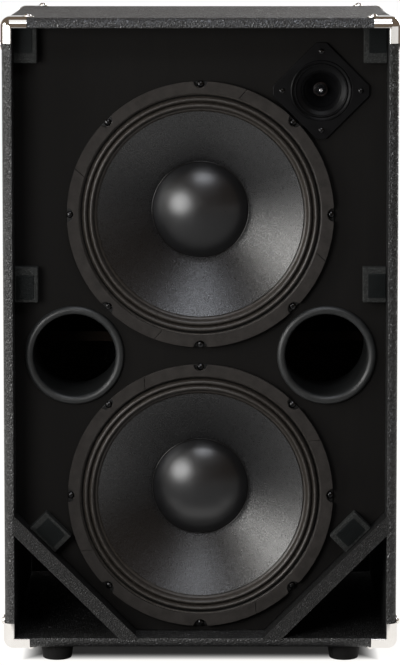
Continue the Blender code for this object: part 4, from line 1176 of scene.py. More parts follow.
@dataclass
class Workshop:
    """Tools that every sub-assembly shares: the trees, and the shapes that they repeat."""

    fixings: Fixings = field(default_factory=Fixings)
    hooks: HookField = field(default_factory=HookField)
    rings: RolledRing = field(default_factory=RolledRing)
    patterns: dict[str, bpy.types.Object] = field(default_factory=dict)
    head: Section = ((0.0, -0.1), (1.0, -0.1, 0.04), (1.0, 0.12, 0.1), (0.86, 0.40, 0.3),
                     (0.45, 0.62, 0.5), (0.0, 0.66))
    slot_half: Point = (0.52, 0.09)
    slot_heights: Point = (0.9, 0.12)
    slot_taper: Point = (0.3, 0.8)

    def keep(self, name: str, mesh: bpy.types.Mesh) -> bpy.types.Object:
        """Keep a mesh as an object that the fixings repeat.

        Args:
            name: Its name.
            mesh: The mesh.

        Returns:
            The object.
        """
        self.patterns[name] = put(name, mesh)
        return self.patterns[name]

    def screw(self) -> bpy.types.Object:
        """A domed head of radius 1 with a cross recess, made once.

        Returns:
            The object that the fixings repeat.
        """
        if "screw" in self.patterns:
            return self.patterns["screw"]
        head = Shape().turn(self.head, 3, 32).mesh("head")
        x, y = self.slot_half
        high, low = self.slot_heights
        arm = [Vector((i * x, k * y, high)) for i, k in ((-1, -1), (1, -1), (1, 1), (-1, 1))]
        foot = [Vector((point.x * self.slot_taper[0], point.y * self.slot_taper[1], low))
                for point in arm]
        slots = [Shape().loft([arm, foot], shift=Matrix.Rotation(turn, 4, "Z")).mesh("slot")
                 for turn in (0.0, math.pi / 2)]
        return self.keep("screw", carved(head, *slots))

    def fasten(self, name: str, places: Sequence[Place], size: float, finish: Finish, seed: int
               ) -> None:
        """Put screws at (point, facing) places, as one piece."""
        enrol(name, self.fixings.put(self.screw(), places, size, finish, seed), (finish,))

    def clear(self) -> None:
        """Remove the repeated objects once every piece is made."""
        for made in self.patterns.values():
            bpy.data.objects.remove(made, do_unlink=True)


# Cabinet

@dataclass
class Box:
    """Outer size of the wooden box, which its boards and its metal corners share."""

    half_width: float = 0.230
    half_depth: float = 0.190
    low: float = 0.020
    high: float = 0.760141


@dataclass
class Cabinet(Box):
    """The box: a wrapped skin, the back, the boards of the corner ports and the inner boards."""

    panel: float = 0.012
    edge: float = 0.010
    rim: float = 0.0105
    inner_rim: float = 0.0012
    wrap: float = 0.0030
    baffle_middle: float = -0.137
    back_face: float = 0.186
    back_inset: float = 0.0003
    back_edge: float = 0.001
    port_end: float = 0.060
    port_legs: Point = (0.141898, 0.124927)
    port_edge: float = 0.0022
    handle_z: float = 0.528341
    handle_hole: Colour = (0.1406, 0.1006, 0.0143)
    dish_z: float = 0.47162
    dish_hole: Colour = (0.1306, 0.0946, 0.0123)
    screw_inset: float = 0.016
    screw_rows: int = 5
    screw_head: float = 0.0042
    tool_reach: float = 0.02

    def outline(self, inset: float, y: float) -> list[Vector]:
        """A ring round the box at an inset from its outer faces.

        Args:
            inset: The inset.
            y: Its depth.

        Returns:
            The ring's points.
        """
        radius = max(self.edge - inset, 0.0003)
        ring = oblong(2 * (self.half_width - inset), self.high - self.low - 2 * inset, radius, 8,
                      0.0, (self.high + self.low) / 2)
        return [Vector((x, y, z)) for x, z in ring]

    def skin(self) -> None:
        """The four outer boards under one piece of vinyl, open at the front and back."""
        section = fillet([(0.0, self.half_depth, self.rim), (0.0, -self.half_depth, self.rim),
                          (self.panel, -self.half_depth, self.inner_rim),
                          (self.panel, self.wrap - self.half_depth),
                          (self.panel, self.baffle_middle), (self.panel, self.back_face),
                          (self.panel, self.half_depth, self.inner_rim)], 8)

        def cover(middle: Vector) -> int:
            """Black paint inside the recess, darker than on the baffle as painted shade, and bare
            plywood where the box is closed off.

            Args:
                middle: A face's middle.

            Returns:
                The number of its finish.
            """
            inner = abs(middle.x) < self.half_width - self.panel + GAP and (
                self.low + self.panel - GAP < middle.z < self.high - self.panel + GAP)
            if not inner or not self.wrap - self.half_depth < middle.y < self.back_face:
                return 0
            return 1 if middle.y < self.baffle_middle else 2

        shell = Shape().loft([self.outline(inset, y) for inset, y in section], loop=True,
                             tint=cover).mesh()
        width, height, radius = self.handle_hole
        tools = [Shape(Look.RIGHT.at(0.0, 0.0, self.handle_z)).plate(
            oblong(width, height, radius), side.value * self.half_width - self.tool_reach,
            side.value * self.half_width + self.tool_reach).mesh() for side in Side]
        enrol("cabinet_skin", carved(shell, *tools), (VINYL, RECESS_PAINT_SHADED, BIRCH),
              ("side_panel_left", "side_panel_right", "top_panel", "bottom_panel"))

    def back(self, shop: Workshop) -> None:
        """The back board with its screws.

        Args:
            shop: The shared tools.
        """
        half_x = self.half_width - self.panel - self.back_inset
        low = self.low + self.panel + self.back_inset
        high = self.high - self.panel - self.back_inset
        width, height, radius = self.dish_hole
        inner = self.back_face - self.panel
        Shape(Look.REAR.at()).plate(
            oblong(2 * half_x, high - low, self.back_edge, 2, 0.0, (low + high) / 2), inner,
            self.back_face, self.back_edge, [oblong(width, height, radius, 6, 0.0, self.dish_z)],
            lambda middle: int(middle.z < inner + GAP)
        ).done("back_board", (VINYL, BIRCH), "rear_panel")
        inset = self.screw_inset
        zs = steps_between(low + inset, high - inset, self.screw_rows - 1)
        places = [(Vector((x, self.back_face, z)), Vector((0, 1, 0)))
                  for x in (inset - half_x, 0.0, half_x - inset) for z in zs
                  if x or z in (zs[0], zs[-1])]
        shop.fasten("back_board_screws", places, self.screw_head, SCREW, 3)

    def port_boards(self) -> None:
        """The boards across the lower corners, with a darker copy of the vinyl on their front
        edges as painted shade, and the darker recess paint elsewhere.
        """
        wall = self.half_width - self.panel - GAP
        floor = self.low + self.panel + GAP
        painted = self.half_depth - self.port_edge - GAP
        heads = [floor + leg - 2 * GAP for leg in self.port_legs]
        for side in Side:
            toes = [side.value * (wall - leg + 2 * GAP) for leg in self.port_legs]
            outline = [(side.value * wall, heads[0]), (toes[0], floor), (toes[1], floor),
                       (side.value * wall, heads[1])]
            if side is Side.RIGHT:
                outline.reverse()
            Shape(Look.FRONT.at()).plate(outline, -self.port_end, self.half_depth,
                                         self.port_edge,
                                         tint=lambda middle: int(middle.z < painted)).done(
                f"port_board_{side.label}", (PORT_VINYL_SHADED, RECESS_PAINT_SHADED),
                f"corner_port_panel_{side.label}")

    def inner_boards(self) -> None:
        """Better materials for the baffle and the brace, whose solids stay; the brace is bare
        birch drawn near black as painted shade inside the box.
        """
        for node, finish in (("front_baffle", PAINTED), ("cross_brace", BIRCH_IN_SHADE)):
            for place in bpy.data.objects[node].material_slots:
                place.material = finish.material()

    def build(self, shop: Workshop) -> None:
        """Make the box.

        Args:
            shop: The shared tools.
        """
        self.skin()
        self.back(shop)
        self.port_boards()
        self.inner_boards()


@dataclass
class GrilleBlock:
    """A vinyl-covered block on the baffle with a square of hook tape."""

    name: str
    x: float
    z: float
    turn: float = 0.0
    pad_shift: Point = (0.0, 0.0)
    base: float = -0.1463
    size: Colour = (0.0275, 0.0415, 0.0165)
    edge: float = 0.0012
    pad: Colour = (0.0205, 0.0285, 0.0008)
    pad_edge: float = 0.0003
    margin: float = 0.0008
    pitch: float = 0.00125
    hook_height: float = 0.0007

    def build(self, shop: Workshop, seed: int) -> None:
        """Make the block, its tape and its hooks.

        Args:
            shop: The shared tools.
            seed: Seed of the hooks' strays.
        """
        where = (Look.FRONT.at(self.x, self.base, self.z)
                 @ Matrix.Rotation(math.radians(self.turn), 4, "Z"))
        width, length, height = self.size
        Shape(where).block((-width / 2, -length / 2, 0.0), (width / 2, length / 2, height),
                           self.edge).done(f"block_{self.name}", (BLOCK_VINYL,),
                                           f"grille_block_{self.name}")
        wide, long, thick = self.pad
        tape = Shape(where).plate(oblong(wide, long, self.edge, 4, *self.pad_shift), height,
                                  height + thick, self.pad_edge).mesh()
        hooks = shop.hooks.grow(HOOKS, Width=wide - 2 * self.margin,
                                Length=long - 2 * self.margin, Pitch=self.pitch,
                                Height=self.hook_height, Seed=seed)
        hooks.transform(where @ Matrix.Translation((*self.pad_shift, height + thick)))
        enrol(f"hook_tape_{self.name}", merged(tape, hooks), (HOOKS,))


# Metal corners and feet

@dataclass
class MetalCorner(Box):
    """A pressed nickel corner: two faces, a rolled front rim and two screw ears."""

    side: Side = Side.LEFT
    back: int = -1
    up: int = 1
    clearance: float = 0.0003
    metal: float = 0.0012
    radius: float = 0.010
    straight: float = 0.004
    leg: float = 0.0295
    leg_width: float = 0.0116
    crest: float = 0.0018
    depth: float = 0.036
    outer_roll: float = 0.0116
    inner_roll: float = 0.0009
    lip: float = 0.0008
    edge: float = 0.0004
    ear_radius: float = 0.0072
    ear_edges: Point = (0.0002, 0.0005)
    ear_reach: float = 0.030
    ear_setback: float = 0.0150
    head: float = 0.0043

    @property
    def name(self) -> str:
        """The node's name.

        Returns:
            corner_, the depth, the level and the side.
        """
        depth = "rear" if self.back > 0 else "front"
        level = "top" if self.up > 0 else "bottom"
        return f"corner_{depth}_{level}_{self.side.label}"

    def spot(self, inward: float, down: float, deep: float) -> Vector:
        """A point by its distances inside the box's side, level and front or back face.

        Args:
            inward: Distance inside the side face.
            down: Distance inside the top or bottom face.
            deep: Distance behind the front or back face.

        Returns:
            The point.
        """
        height = self.high - down if self.up > 0 else self.low + down
        return Vector((self.side.value * (self.half_width - inward),
                       self.back * (self.half_depth - deep), height))

    def course(self, inset: float, y: float) -> list[Vector]:
        """A line round the box's corner at an inset from its faces and a depth.

        Args:
            inset: Distance inside the side and level faces.
            y: Distance behind the front or back face.

        Returns:
            Its points from the foot of one leg to the end of the other.
        """
        turn = max(self.radius - inset, 0.0)
        start = self.radius + self.straight
        line = [(inset, self.leg), (inset, start)]
        line += [polar(turn, angle, inset + turn, inset + turn)
                 for angle in steps_between(math.pi, 1.5 * math.pi, 16)]
        line += [(start, inset), (self.leg, inset)]
        return [self.spot(x, z, y) for x, z in line]

    def pressing(self) -> Shape:
        """The sheet: a closed section run round the box's corner.

        Returns:
            The sheet's shape.
        """
        over = self.clearance + self.metal
        width, crest, metal, edge = self.leg_width, self.crest, self.metal, self.edge
        section = fillet([(-over, self.depth, edge), (-over, -crest, self.outer_roll),
                          (width, -crest, self.inner_roll), (width, self.lip, 0.75 * edge),
                          (width - metal, self.lip, 0.75 * edge),
                          (width - metal, metal - crest, 0.0),
                          (metal - over, metal - crest, self.outer_roll - metal),
                          (metal - over, self.depth, edge)], 12)
        rows = [self.course(inset, y) for inset, y in section]
        return Shape().loft([list(ring) for ring in zip(*rows)])

    def build(self) -> list[Place]:
        """Make the corner.

        Returns:
            Point and facing of each of its screws.
        """
        shape = self.pressing()
        screws = []
        over = -self.clearance
        for centre, way in (
                (self.spot(self.ear_reach, over, self.ear_setback), Vector((0, 0, self.up))),
                (self.spot(over, self.ear_reach, self.ear_setback),
                 Vector((self.side.value, 0, 0)))):
            turn = way.to_track_quat("Z", "Y").to_matrix().to_4x4()
            shape.turn([(0.0, 0.0), (self.ear_radius, 0.0, self.ear_edges[0]),
                        (self.ear_radius, self.metal, self.ear_edges[1]), (0.0, self.metal)],
                       3, 40, shift=Matrix.Translation(centre) @ turn)
            screws.append((centre + way * self.metal, way))
        shape.done(self.name + "_nickel", (NICKEL,), self.name, crease=40.0)
        return screws


@dataclass
class Foot:
    """A turned rubber foot with a steel washer in its recess."""

    side: Side
    back: int
    x: float = 0.170
    y: float = 0.150
    recess_top: float = 0.010
    washer: float = 0.0012
    head: float = 0.0040
    body: Section = ((0.0, 0.0197), (0.020, 0.0197, 0.0008), (0.017, 0.0, 0.0022),
                     (0.008, 0.0, 0.0010), (0.008, 0.010, 0.0006), (0.0, 0.010))
    ring: Section = ((0.0022, 0.0098), (0.0073, 0.0098), (0.0073, 0.0088, 0.0003),
                     (0.0022, 0.0088, 0.0003))

    def build(self) -> Place:
        """Make the foot and its washer.

        Returns:
            Point and facing of its screw.
        """
        label = f"foot_{'rear' if self.back > 0 else 'front'}_{self.side.label}"
        where = Look.UP.at(self.side.value * self.x, self.back * self.y, 0.0)
        Shape(where).turn(self.body, 4, 72).done(label + "_rubber", (RUBBER,), label)
        Shape(where).turn(self.ring, 2, 40).done(label + "_washer", (ZINC,))
        return (where.translation + Vector((0.0, 0.0, self.recess_top - self.washer)),
                Vector((0.0, 0.0, -1.0)))


# Woofers and ports

@dataclass
class Woofer:
    """A twelve inch driver, from its frame and gasket to its motor."""

    label: str
    z: float
    body: Body
    seam: float
    y: float = -0.1493
    rim_radius: float = 0.1575
    neck: float = 0.1412
    wall: float = 0.0025
    edge: float = 0.0006
    bend: float = 0.012
    bend_radii: tuple[float, ...] = (0.002, 0.006, 0.004, 0.002, 0.003)
    shelf: float = 0.086
    shelf_width: float = 0.022
    shelf_depth: float = 0.0847
    floor: float = 0.104
    plate_bore: float = 0.0397
    spokes: int = 8
    spoke_steps: int = 12
    window: Point = (0.0205, 0.066)
    window_share: float = 0.72
    gasket_outer: float = 0.1565
    gasket_inner: float = 0.1425
    gasket_heights: Point = (0.0012, 0.0052)
    gasket_edge: float = 0.0005
    strips: int = 4
    slant: float = 2.2
    cut: float = 0.00025
    notches: int = 8
    notch_radius: float = 0.0080
    cloth: float = 0.0006
    rolls: Point = (0.1391, 0.1247)
    roll_height: float = 0.0064
    roll_power: float = 0.8
    groove: float = 0.0026
    surround: Point = (0.1505, 0.1150)
    cone_radius: float = 0.121
    cone_edge: float = 0.0035
    cone_neck: float = 0.0795
    cone_bore: float = 0.0334
    neck_radius: float = 0.0329
    cone_curve: float = 0.94
    cone_wall: float = 0.001
    cap_radius: float = 0.057
    cap_height: float = 0.019
    cap_lift: float = 0.0030
    cap_brim: float = 0.0020
    brim_share: float = 0.8
    cap_wall: float = 0.0009
    cap_taper: float = 0.985
    bead: float = 0.0011
    bead_shift: Point = (0.0006, -0.0002)
    former: float = 0.0316
    former_wall: float = 0.0008
    former_rise: float = 0.0035
    winding: float = 0.001
    winding_length: float = 0.014
    winding_turns: int = 24
    winding_root: float = 0.0001
    valley: float = 0.62
    spider_outer: float = 0.080
    spider_clamp: float = 0.0735
    spider_seat: float = 0.005
    spider_depth: float = 0.0840
    spider_height: float = 0.0024
    top_plate: Colour = (0.066, 0.1068, 0.1148)
    magnet: Colour = (0.070, 0.1151, 0.1351)
    back_plate: Colour = (0.064, 0.1354, 0.1434)
    chamfer: float = 0.0012
    coil_gap: float = 0.0009
    magnet_bore: float = 0.042
    pole: float = 0.0302
    vent: float = 0.009
    yoke_edges: tuple[float, ...] = (0.0015, 0.0008, 0.001, 0.001, 0.0025, 0.002)
    screw_inset: float = 0.0045
    screw_lift: float = 0.0002
    screw_head: float = 0.0042

    @property
    def where(self) -> Matrix:
        """The driver's own frame, on its rim's front face."""
        return Look.FRONT.at(0.0, self.y, self.z)

    def named(self, word: str) -> str:
        """A name of this driver's own."""
        return f"woofer_{self.label}_{word}"

    def paper(self, kind: type[Finish], name: str, **fields: object) -> Finish:
        """A paper whose pattern is centred on this driver."""
        return kind(f"{name}_{self.label}", "cone_paper", (0.006, 0.006, 0.0065),
                    centre=(0.0, self.y, self.z), look=Look.FRONT, **fields)

    def cone_level(self, radius: float) -> float:
        """Depth of the cone's middle surface at a radius."""
        share = (radius - self.neck_radius) / (self.cone_radius - self.neck_radius)
        return self.cone_neck - (self.cone_neck - self.cone_edge) * share ** self.cone_curve

    def frame_section(self) -> list[Point]:
        """The section of the frame's sheet, with points at its windows' ends.

        Returns:
            The (radius, height) points.
        """
        half = self.wall / 2
        foot = self.shelf - self.shelf_width
        bends = ((self.neck - half, -half), (self.neck - half, -self.bend),
                 (self.shelf - half, -self.shelf_depth - half),
                 (foot - half, -self.shelf_depth - half), (foot - half, -self.floor - half))
        section = fillet([(self.rim_radius - half, -half),
                          *[(*bend, radius) for bend, radius in zip(bends, self.bend_radii)],
                          (self.plate_bore, -self.floor - half)], 5, closed=False)
        points: list[Point] = []
        for first, second in zip(section, section[1:]):
            points.append(first)
            for level in (-self.window[0], -self.window[1]):
                if first[1] > level > second[1] and first[0] > foot:
                    share = (first[1] - level) / (first[1] - second[1])
                    points.append((first[0] + (second[0] - first[0]) * share, level))
        return points + [section[-1]]

    def basket(self) -> None:
        """The pressed frame: a sheet with windows between its spokes, then its thickness."""
        points = self.frame_section()
        top, bottom = self.window
        pitch = self.spoke_steps
        open_steps = round(pitch * self.window_share)

        def metal(row: int, step: int) -> bool:
            """Whether there is metal after a point of the section and a step round.

            Args:
                row: Number of the section's point.
                step: Number of the step.

            Returns:
                False in a window.
            """
            high, deeper = points[row][1], points[row + 1][1]
            inside = -top + 1e-6 > high > -bottom and deeper > -bottom - 1e-6
            return not inside or (step + (open_steps + pitch) // 2) % pitch >= open_steps

        form = bmesh.new()
        bridge(form, [[form.verts.new((*point, z)) for point in circle(radius,
                                                                       pitch * self.spokes)]
                      for radius, z in points], metal)
        bmesh.ops.recalc_face_normals(form, faces=form.faces)
        sheet = bpy.data.meshes.new("basket")
        form.to_mesh(sheet)
        form.free()
        mesh = eased(baked(sheet, ("SOLIDIFY", {"thickness": self.wall, "offset": 0.0,
                                                "use_even_offset": True})), self.edge, 2, 50)
        mesh.transform(self.where)
        enrol(self.named("frame"), mesh, (STEEL,), (self.named("basket"),))

    def gasket(self) -> None:
        """The gasket strips, notched round each screw, with slanted seams between."""
        strips = Shape(self.where)
        share = 2 * math.pi / self.strips
        slant = math.radians(self.slant)
        outer, inner = self.cut / self.gasket_outer, self.cut / self.gasket_inner
        for k in range(self.strips):
            start = math.radians(self.seam) + k * share
            end = math.radians(self.seam) + (k + 1) * share
            outline = self.strip_edge(start + outer, end - outer)
            outline += [polar(self.gasket_inner, angle) for angle in steps_between(
                end - inner + slant, start + inner + slant, 40)]
            strips.plate(outline, *self.gasket_heights, self.gasket_edge)
        strips.done(self.named("gasket_strips"), (GASKET,), self.named("gasket"))

    def strip_edge(self, start: float, end: float) -> list[Point]:
        """The outer edge of a gasket strip with its half-round notches.

        Args:
            start: Angle where the strip starts.
            end: Angle where it ends.

        Returns:
            The edge's points.
        """
        radius, bite = self.gasket_outer, self.notch_radius
        half = 2 * math.asin(bite / (2 * radius))
        reach = math.acos(bite / (2 * radius))
        pitch = 2 * math.pi / self.notches
        points: list[Point] = []
        for angle in steps_between(start, end, 160):
            nearest = round(angle / pitch) * pitch
            if abs(angle - nearest) > half:
                points.append(polar(radius, angle))
            else:
                points.append(polar(bite, math.pi + nearest + reach * (nearest - angle) / half,
                                    *polar(radius, nearest)))
        return points

    def ring(self, piece: str, mesh: bpy.types.Mesh, finish: Finish, outer: float, inner: float
             ) -> None:
        """Thicken a soft ring, as a piece that rides on no body.

        Args:
            piece: The node's last word.
            mesh: The ring's sheet in the driver's frame.
            finish: Its finish.
            outer: Radius that stays on the frame; not used.
            inner: Radius that moves with the cone; not used.
        """
        work = bmesh.new()
        work.from_mesh(mesh)
        bmesh.ops.recalc_face_normals(work, faces=work.faces)
        work.faces.ensure_lookup_table()
        if work.faces[0].normal.z < 0:
            bmesh.ops.reverse_faces(work, faces=work.faces)
        work.to_mesh(mesh)
        work.free()
        mesh = baked(mesh, ("SOLIDIFY", {"thickness": self.cloth, "offset": 0.0}))
        mesh.transform(self.where)
        made = enrol(self.named(piece + "_cloth"), mesh, (finish,), (self.named(piece),), None,
                     70.0)
        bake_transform(made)

    def suspension(self, shop: Workshop) -> None:
        """The doped surround over the cone's edge, and the amber spider round the former.

        Args:
            shop: The shared tools.
        """
        outer, inner = self.surround
        slope = (self.cone_level(inner) - self.cone_level(self.cone_radius)
                 ) / (self.cone_radius - inner)
        mesh = shop.rings.grow(DOPED, Outer=outer, Rolls_Outer=self.rolls[0],
                               Rolls_Inner=self.rolls[1], Inner=inner, Waves=2.0,
                               Height=self.roll_height, Power=self.roll_power, Dip=self.groove,
                               Fall=slope, Rows=96, Steps=161)
        mesh.transform(Matrix.Translation((0.0, 0.0, GAP + self.cloth / 2)))
        self.ring("surround", mesh, DOPED, *self.rolls)
        inner = self.former + self.former_wall + GAP
        seat = inner + self.spider_seat
        mesh = shop.rings.grow(SPIDER, Outer=self.spider_outer, Rolls_Outer=self.spider_clamp,
                               Rolls_Inner=seat, Inner=inner, Waves=5.0,
                               Height=self.spider_height, Power=2.0, Dip=0.0, Fall=0.0, Rows=90,
                               Steps=121)
        mesh.transform(Matrix.Translation((0.0, 0.0, -self.spider_depth)))
        self.ring("spider", mesh, SPIDER, self.spider_clamp, seat)

    def cone(self) -> None:
        """The paper cone, a shell that curves from its edge to its neck."""
        half = self.cone_wall / 2
        radii = steps_between(self.cone_bore, self.cone_radius, 24)
        front = [(radius, -self.cone_level(radius) + half) for radius in radii]
        rear = [(radius, z - 2 * half) for radius, z in reversed(front)]
        paper = self.paper(Paper, "paper_cone", light=(0.014, 0.014, 0.015),
                           rough=(0.24, 0.33), specular=0.98, relief=0.00013)
        Shape(self.where).turn(front + rear, steps=160).done(
            self.named("paper_cone"), (paper,), self.named("cone"), self.body, 60.0)

    def dust_cap(self) -> None:
        """The domed cap with its glued lip, and the bead of glue round it."""
        base = -self.cone_level(self.cap_radius) + self.cap_lift
        sphere = (self.cap_radius ** 2 + self.cap_height ** 2) / (2 * self.cap_height)
        dome = []
        for angle in steps_between(0.0, math.asin(self.cap_radius / sphere), 24):
            radius = sphere * math.sin(angle)
            brim = max(radius / self.cap_radius - self.brim_share, 0.0) / (1 - self.brim_share)
            dome.append((radius, base + self.cap_height - self.cap_brim * brim ** 2
                         - sphere * (1 - math.cos(angle))))
        under = [(radius * self.cap_taper, z - self.cap_wall) for radius, z in reversed(dome)]
        paper = self.paper(Finish, "paper_cap", light=(0.009, 0.009, 0.010), rough=(0.27, 0.32),
                           specular=0.8, relief=0.00003, scale=650.0)
        Shape(self.where).turn(dome + under, steps=128).done(
            self.named("cap"), (paper,), self.named("dust_cap"), self.body, 60.0)
        bead = circle(self.bead, 12, self.cap_radius + self.bead_shift[0],
                      base - self.cap_brim + self.bead_shift[1])
        Shape(self.where).turn(bead, steps=128).done(self.named("glue_bead"), (GLUE,),
                                                     body=self.body)

    def voice_coil(self) -> None:
        """The former, and its winding drawn as turns of wire."""
        outer = self.former + self.former_wall
        root = outer - self.winding_root
        valley = outer + self.winding * self.valley
        middle = -(self.top_plate[1] + self.top_plate[2]) / 2
        low, high = middle - self.winding_length / 2, middle + self.winding_length / 2
        front = self.former_rise - self.cone_neck
        pitch = self.winding_length / self.winding_turns
        wires: list[Point] = [(root, high)]
        for i in range(self.winding_turns):
            z = high - pitch * i
            wires += [(valley, z), (outer + self.winding, z - pitch / 2)]
        wires += [(valley, low), (root, low)]
        Shape(self.where).turn([(self.former, front), (outer, front), (outer, low),
                                (self.former, low)], steps=80, tint=1).turn(
            wires, steps=80).done(self.named("coil_winding"), (COPPER, FORMER),
                                  self.named("voice_coil"), self.body, 80.0)

    def motor(self) -> None:
        """Top plate, magnet and yoke with its vented pole."""
        bore = self.former + self.former_wall + self.winding + self.coil_gap
        for word, (radius, front, rear), inner, finish in (
                ("top_plate", self.top_plate, bore, ZINC),
                ("magnet", self.magnet, self.magnet_bore, FERRITE)):
            Shape(self.where).turn([
                (inner, -front, self.chamfer), (radius, -front, self.chamfer),
                (radius, -rear, self.chamfer), (inner, -rear, self.chamfer)], 3).done(
                self.named(word + "_turned"), (finish,), self.named(word))
        radius, front, rear = self.back_plate
        tip = self.top_plate[1]
        corners = ((self.vent, -tip), (self.pole, -tip), (self.pole, -front), (radius, -front),
                   (radius, -rear), (self.vent, -rear))
        Shape(self.where).turn([(*corner, edge) for corner, edge in zip(corners, self.yoke_edges)],
                               4).done(self.named("yoke_turned"), (ZINC,), self.named("yoke"))

    def build(self, shop: Workshop, seed: int) -> None:
        """Make the driver with a screw in each notch.

        Args:
            shop: The shared tools.
            seed: Seed of the screws' turns.
        """
        self.basket()
        self.gasket()
        self.suspension(shop)
        self.cone()
        self.dust_cap()
        self.voice_coil()
        self.motor()
        places = [(self.where @ Vector((*point, self.screw_lift)), Vector((0.0, -1.0, 0.0)))
                  for point in circle(self.rim_radius - self.screw_inset, self.notches)]
        shop.fasten(self.named("screws"), places, self.screw_head, SCREW, seed)


@dataclass
class PortTube:
    """A round port with a fat lip and a flared inner end."""

    side: Side
    x: float = 0.148414
    z: float = 0.36162
    baffle: float = -0.146
    bore: float = 0.049
    wall: float = 0.003
    lip: float = 0.0583
    length: float = 0.112
    bead: float = 0.0064
    bead_bore: float = 0.0486
    bead_radii: Point = (0.0046, 0.0048)
    bead_foot: float = 0.0006
    seat: float = 0.002
    seat_radius: float = 0.001
    end_edge: float = 0.0008

    def build(self) -> None:
        """Make the tube, with its bore behind the lip drawn near black as painted shade."""
        where = Look.FRONT.at(self.side.value * self.x, self.baffle, self.z)
        outer = self.bore + self.wall
        Shape(where).turn(
            [(self.bore, -self.length), (self.bore, -self.seat, self.seat_radius),
             (self.bead_bore, 0.0, self.seat_radius),
             (self.bead_bore, self.bead, self.bead_radii[0]),
             (self.lip, self.bead, self.bead_radii[1]), (self.lip, GAP, self.bead_foot),
             (outer, GAP), (outer, -self.length, self.end_edge)], 8, 128,
            lambda middle: int(middle.z < 0.0 and middle.xy.length < outer - GAP)).done(
            f"port_{self.side.label}_moulding", (LIP, BORE_SHADE), f"port_tube_{self.side.label}",
            crease=60.0)


# Tweeter

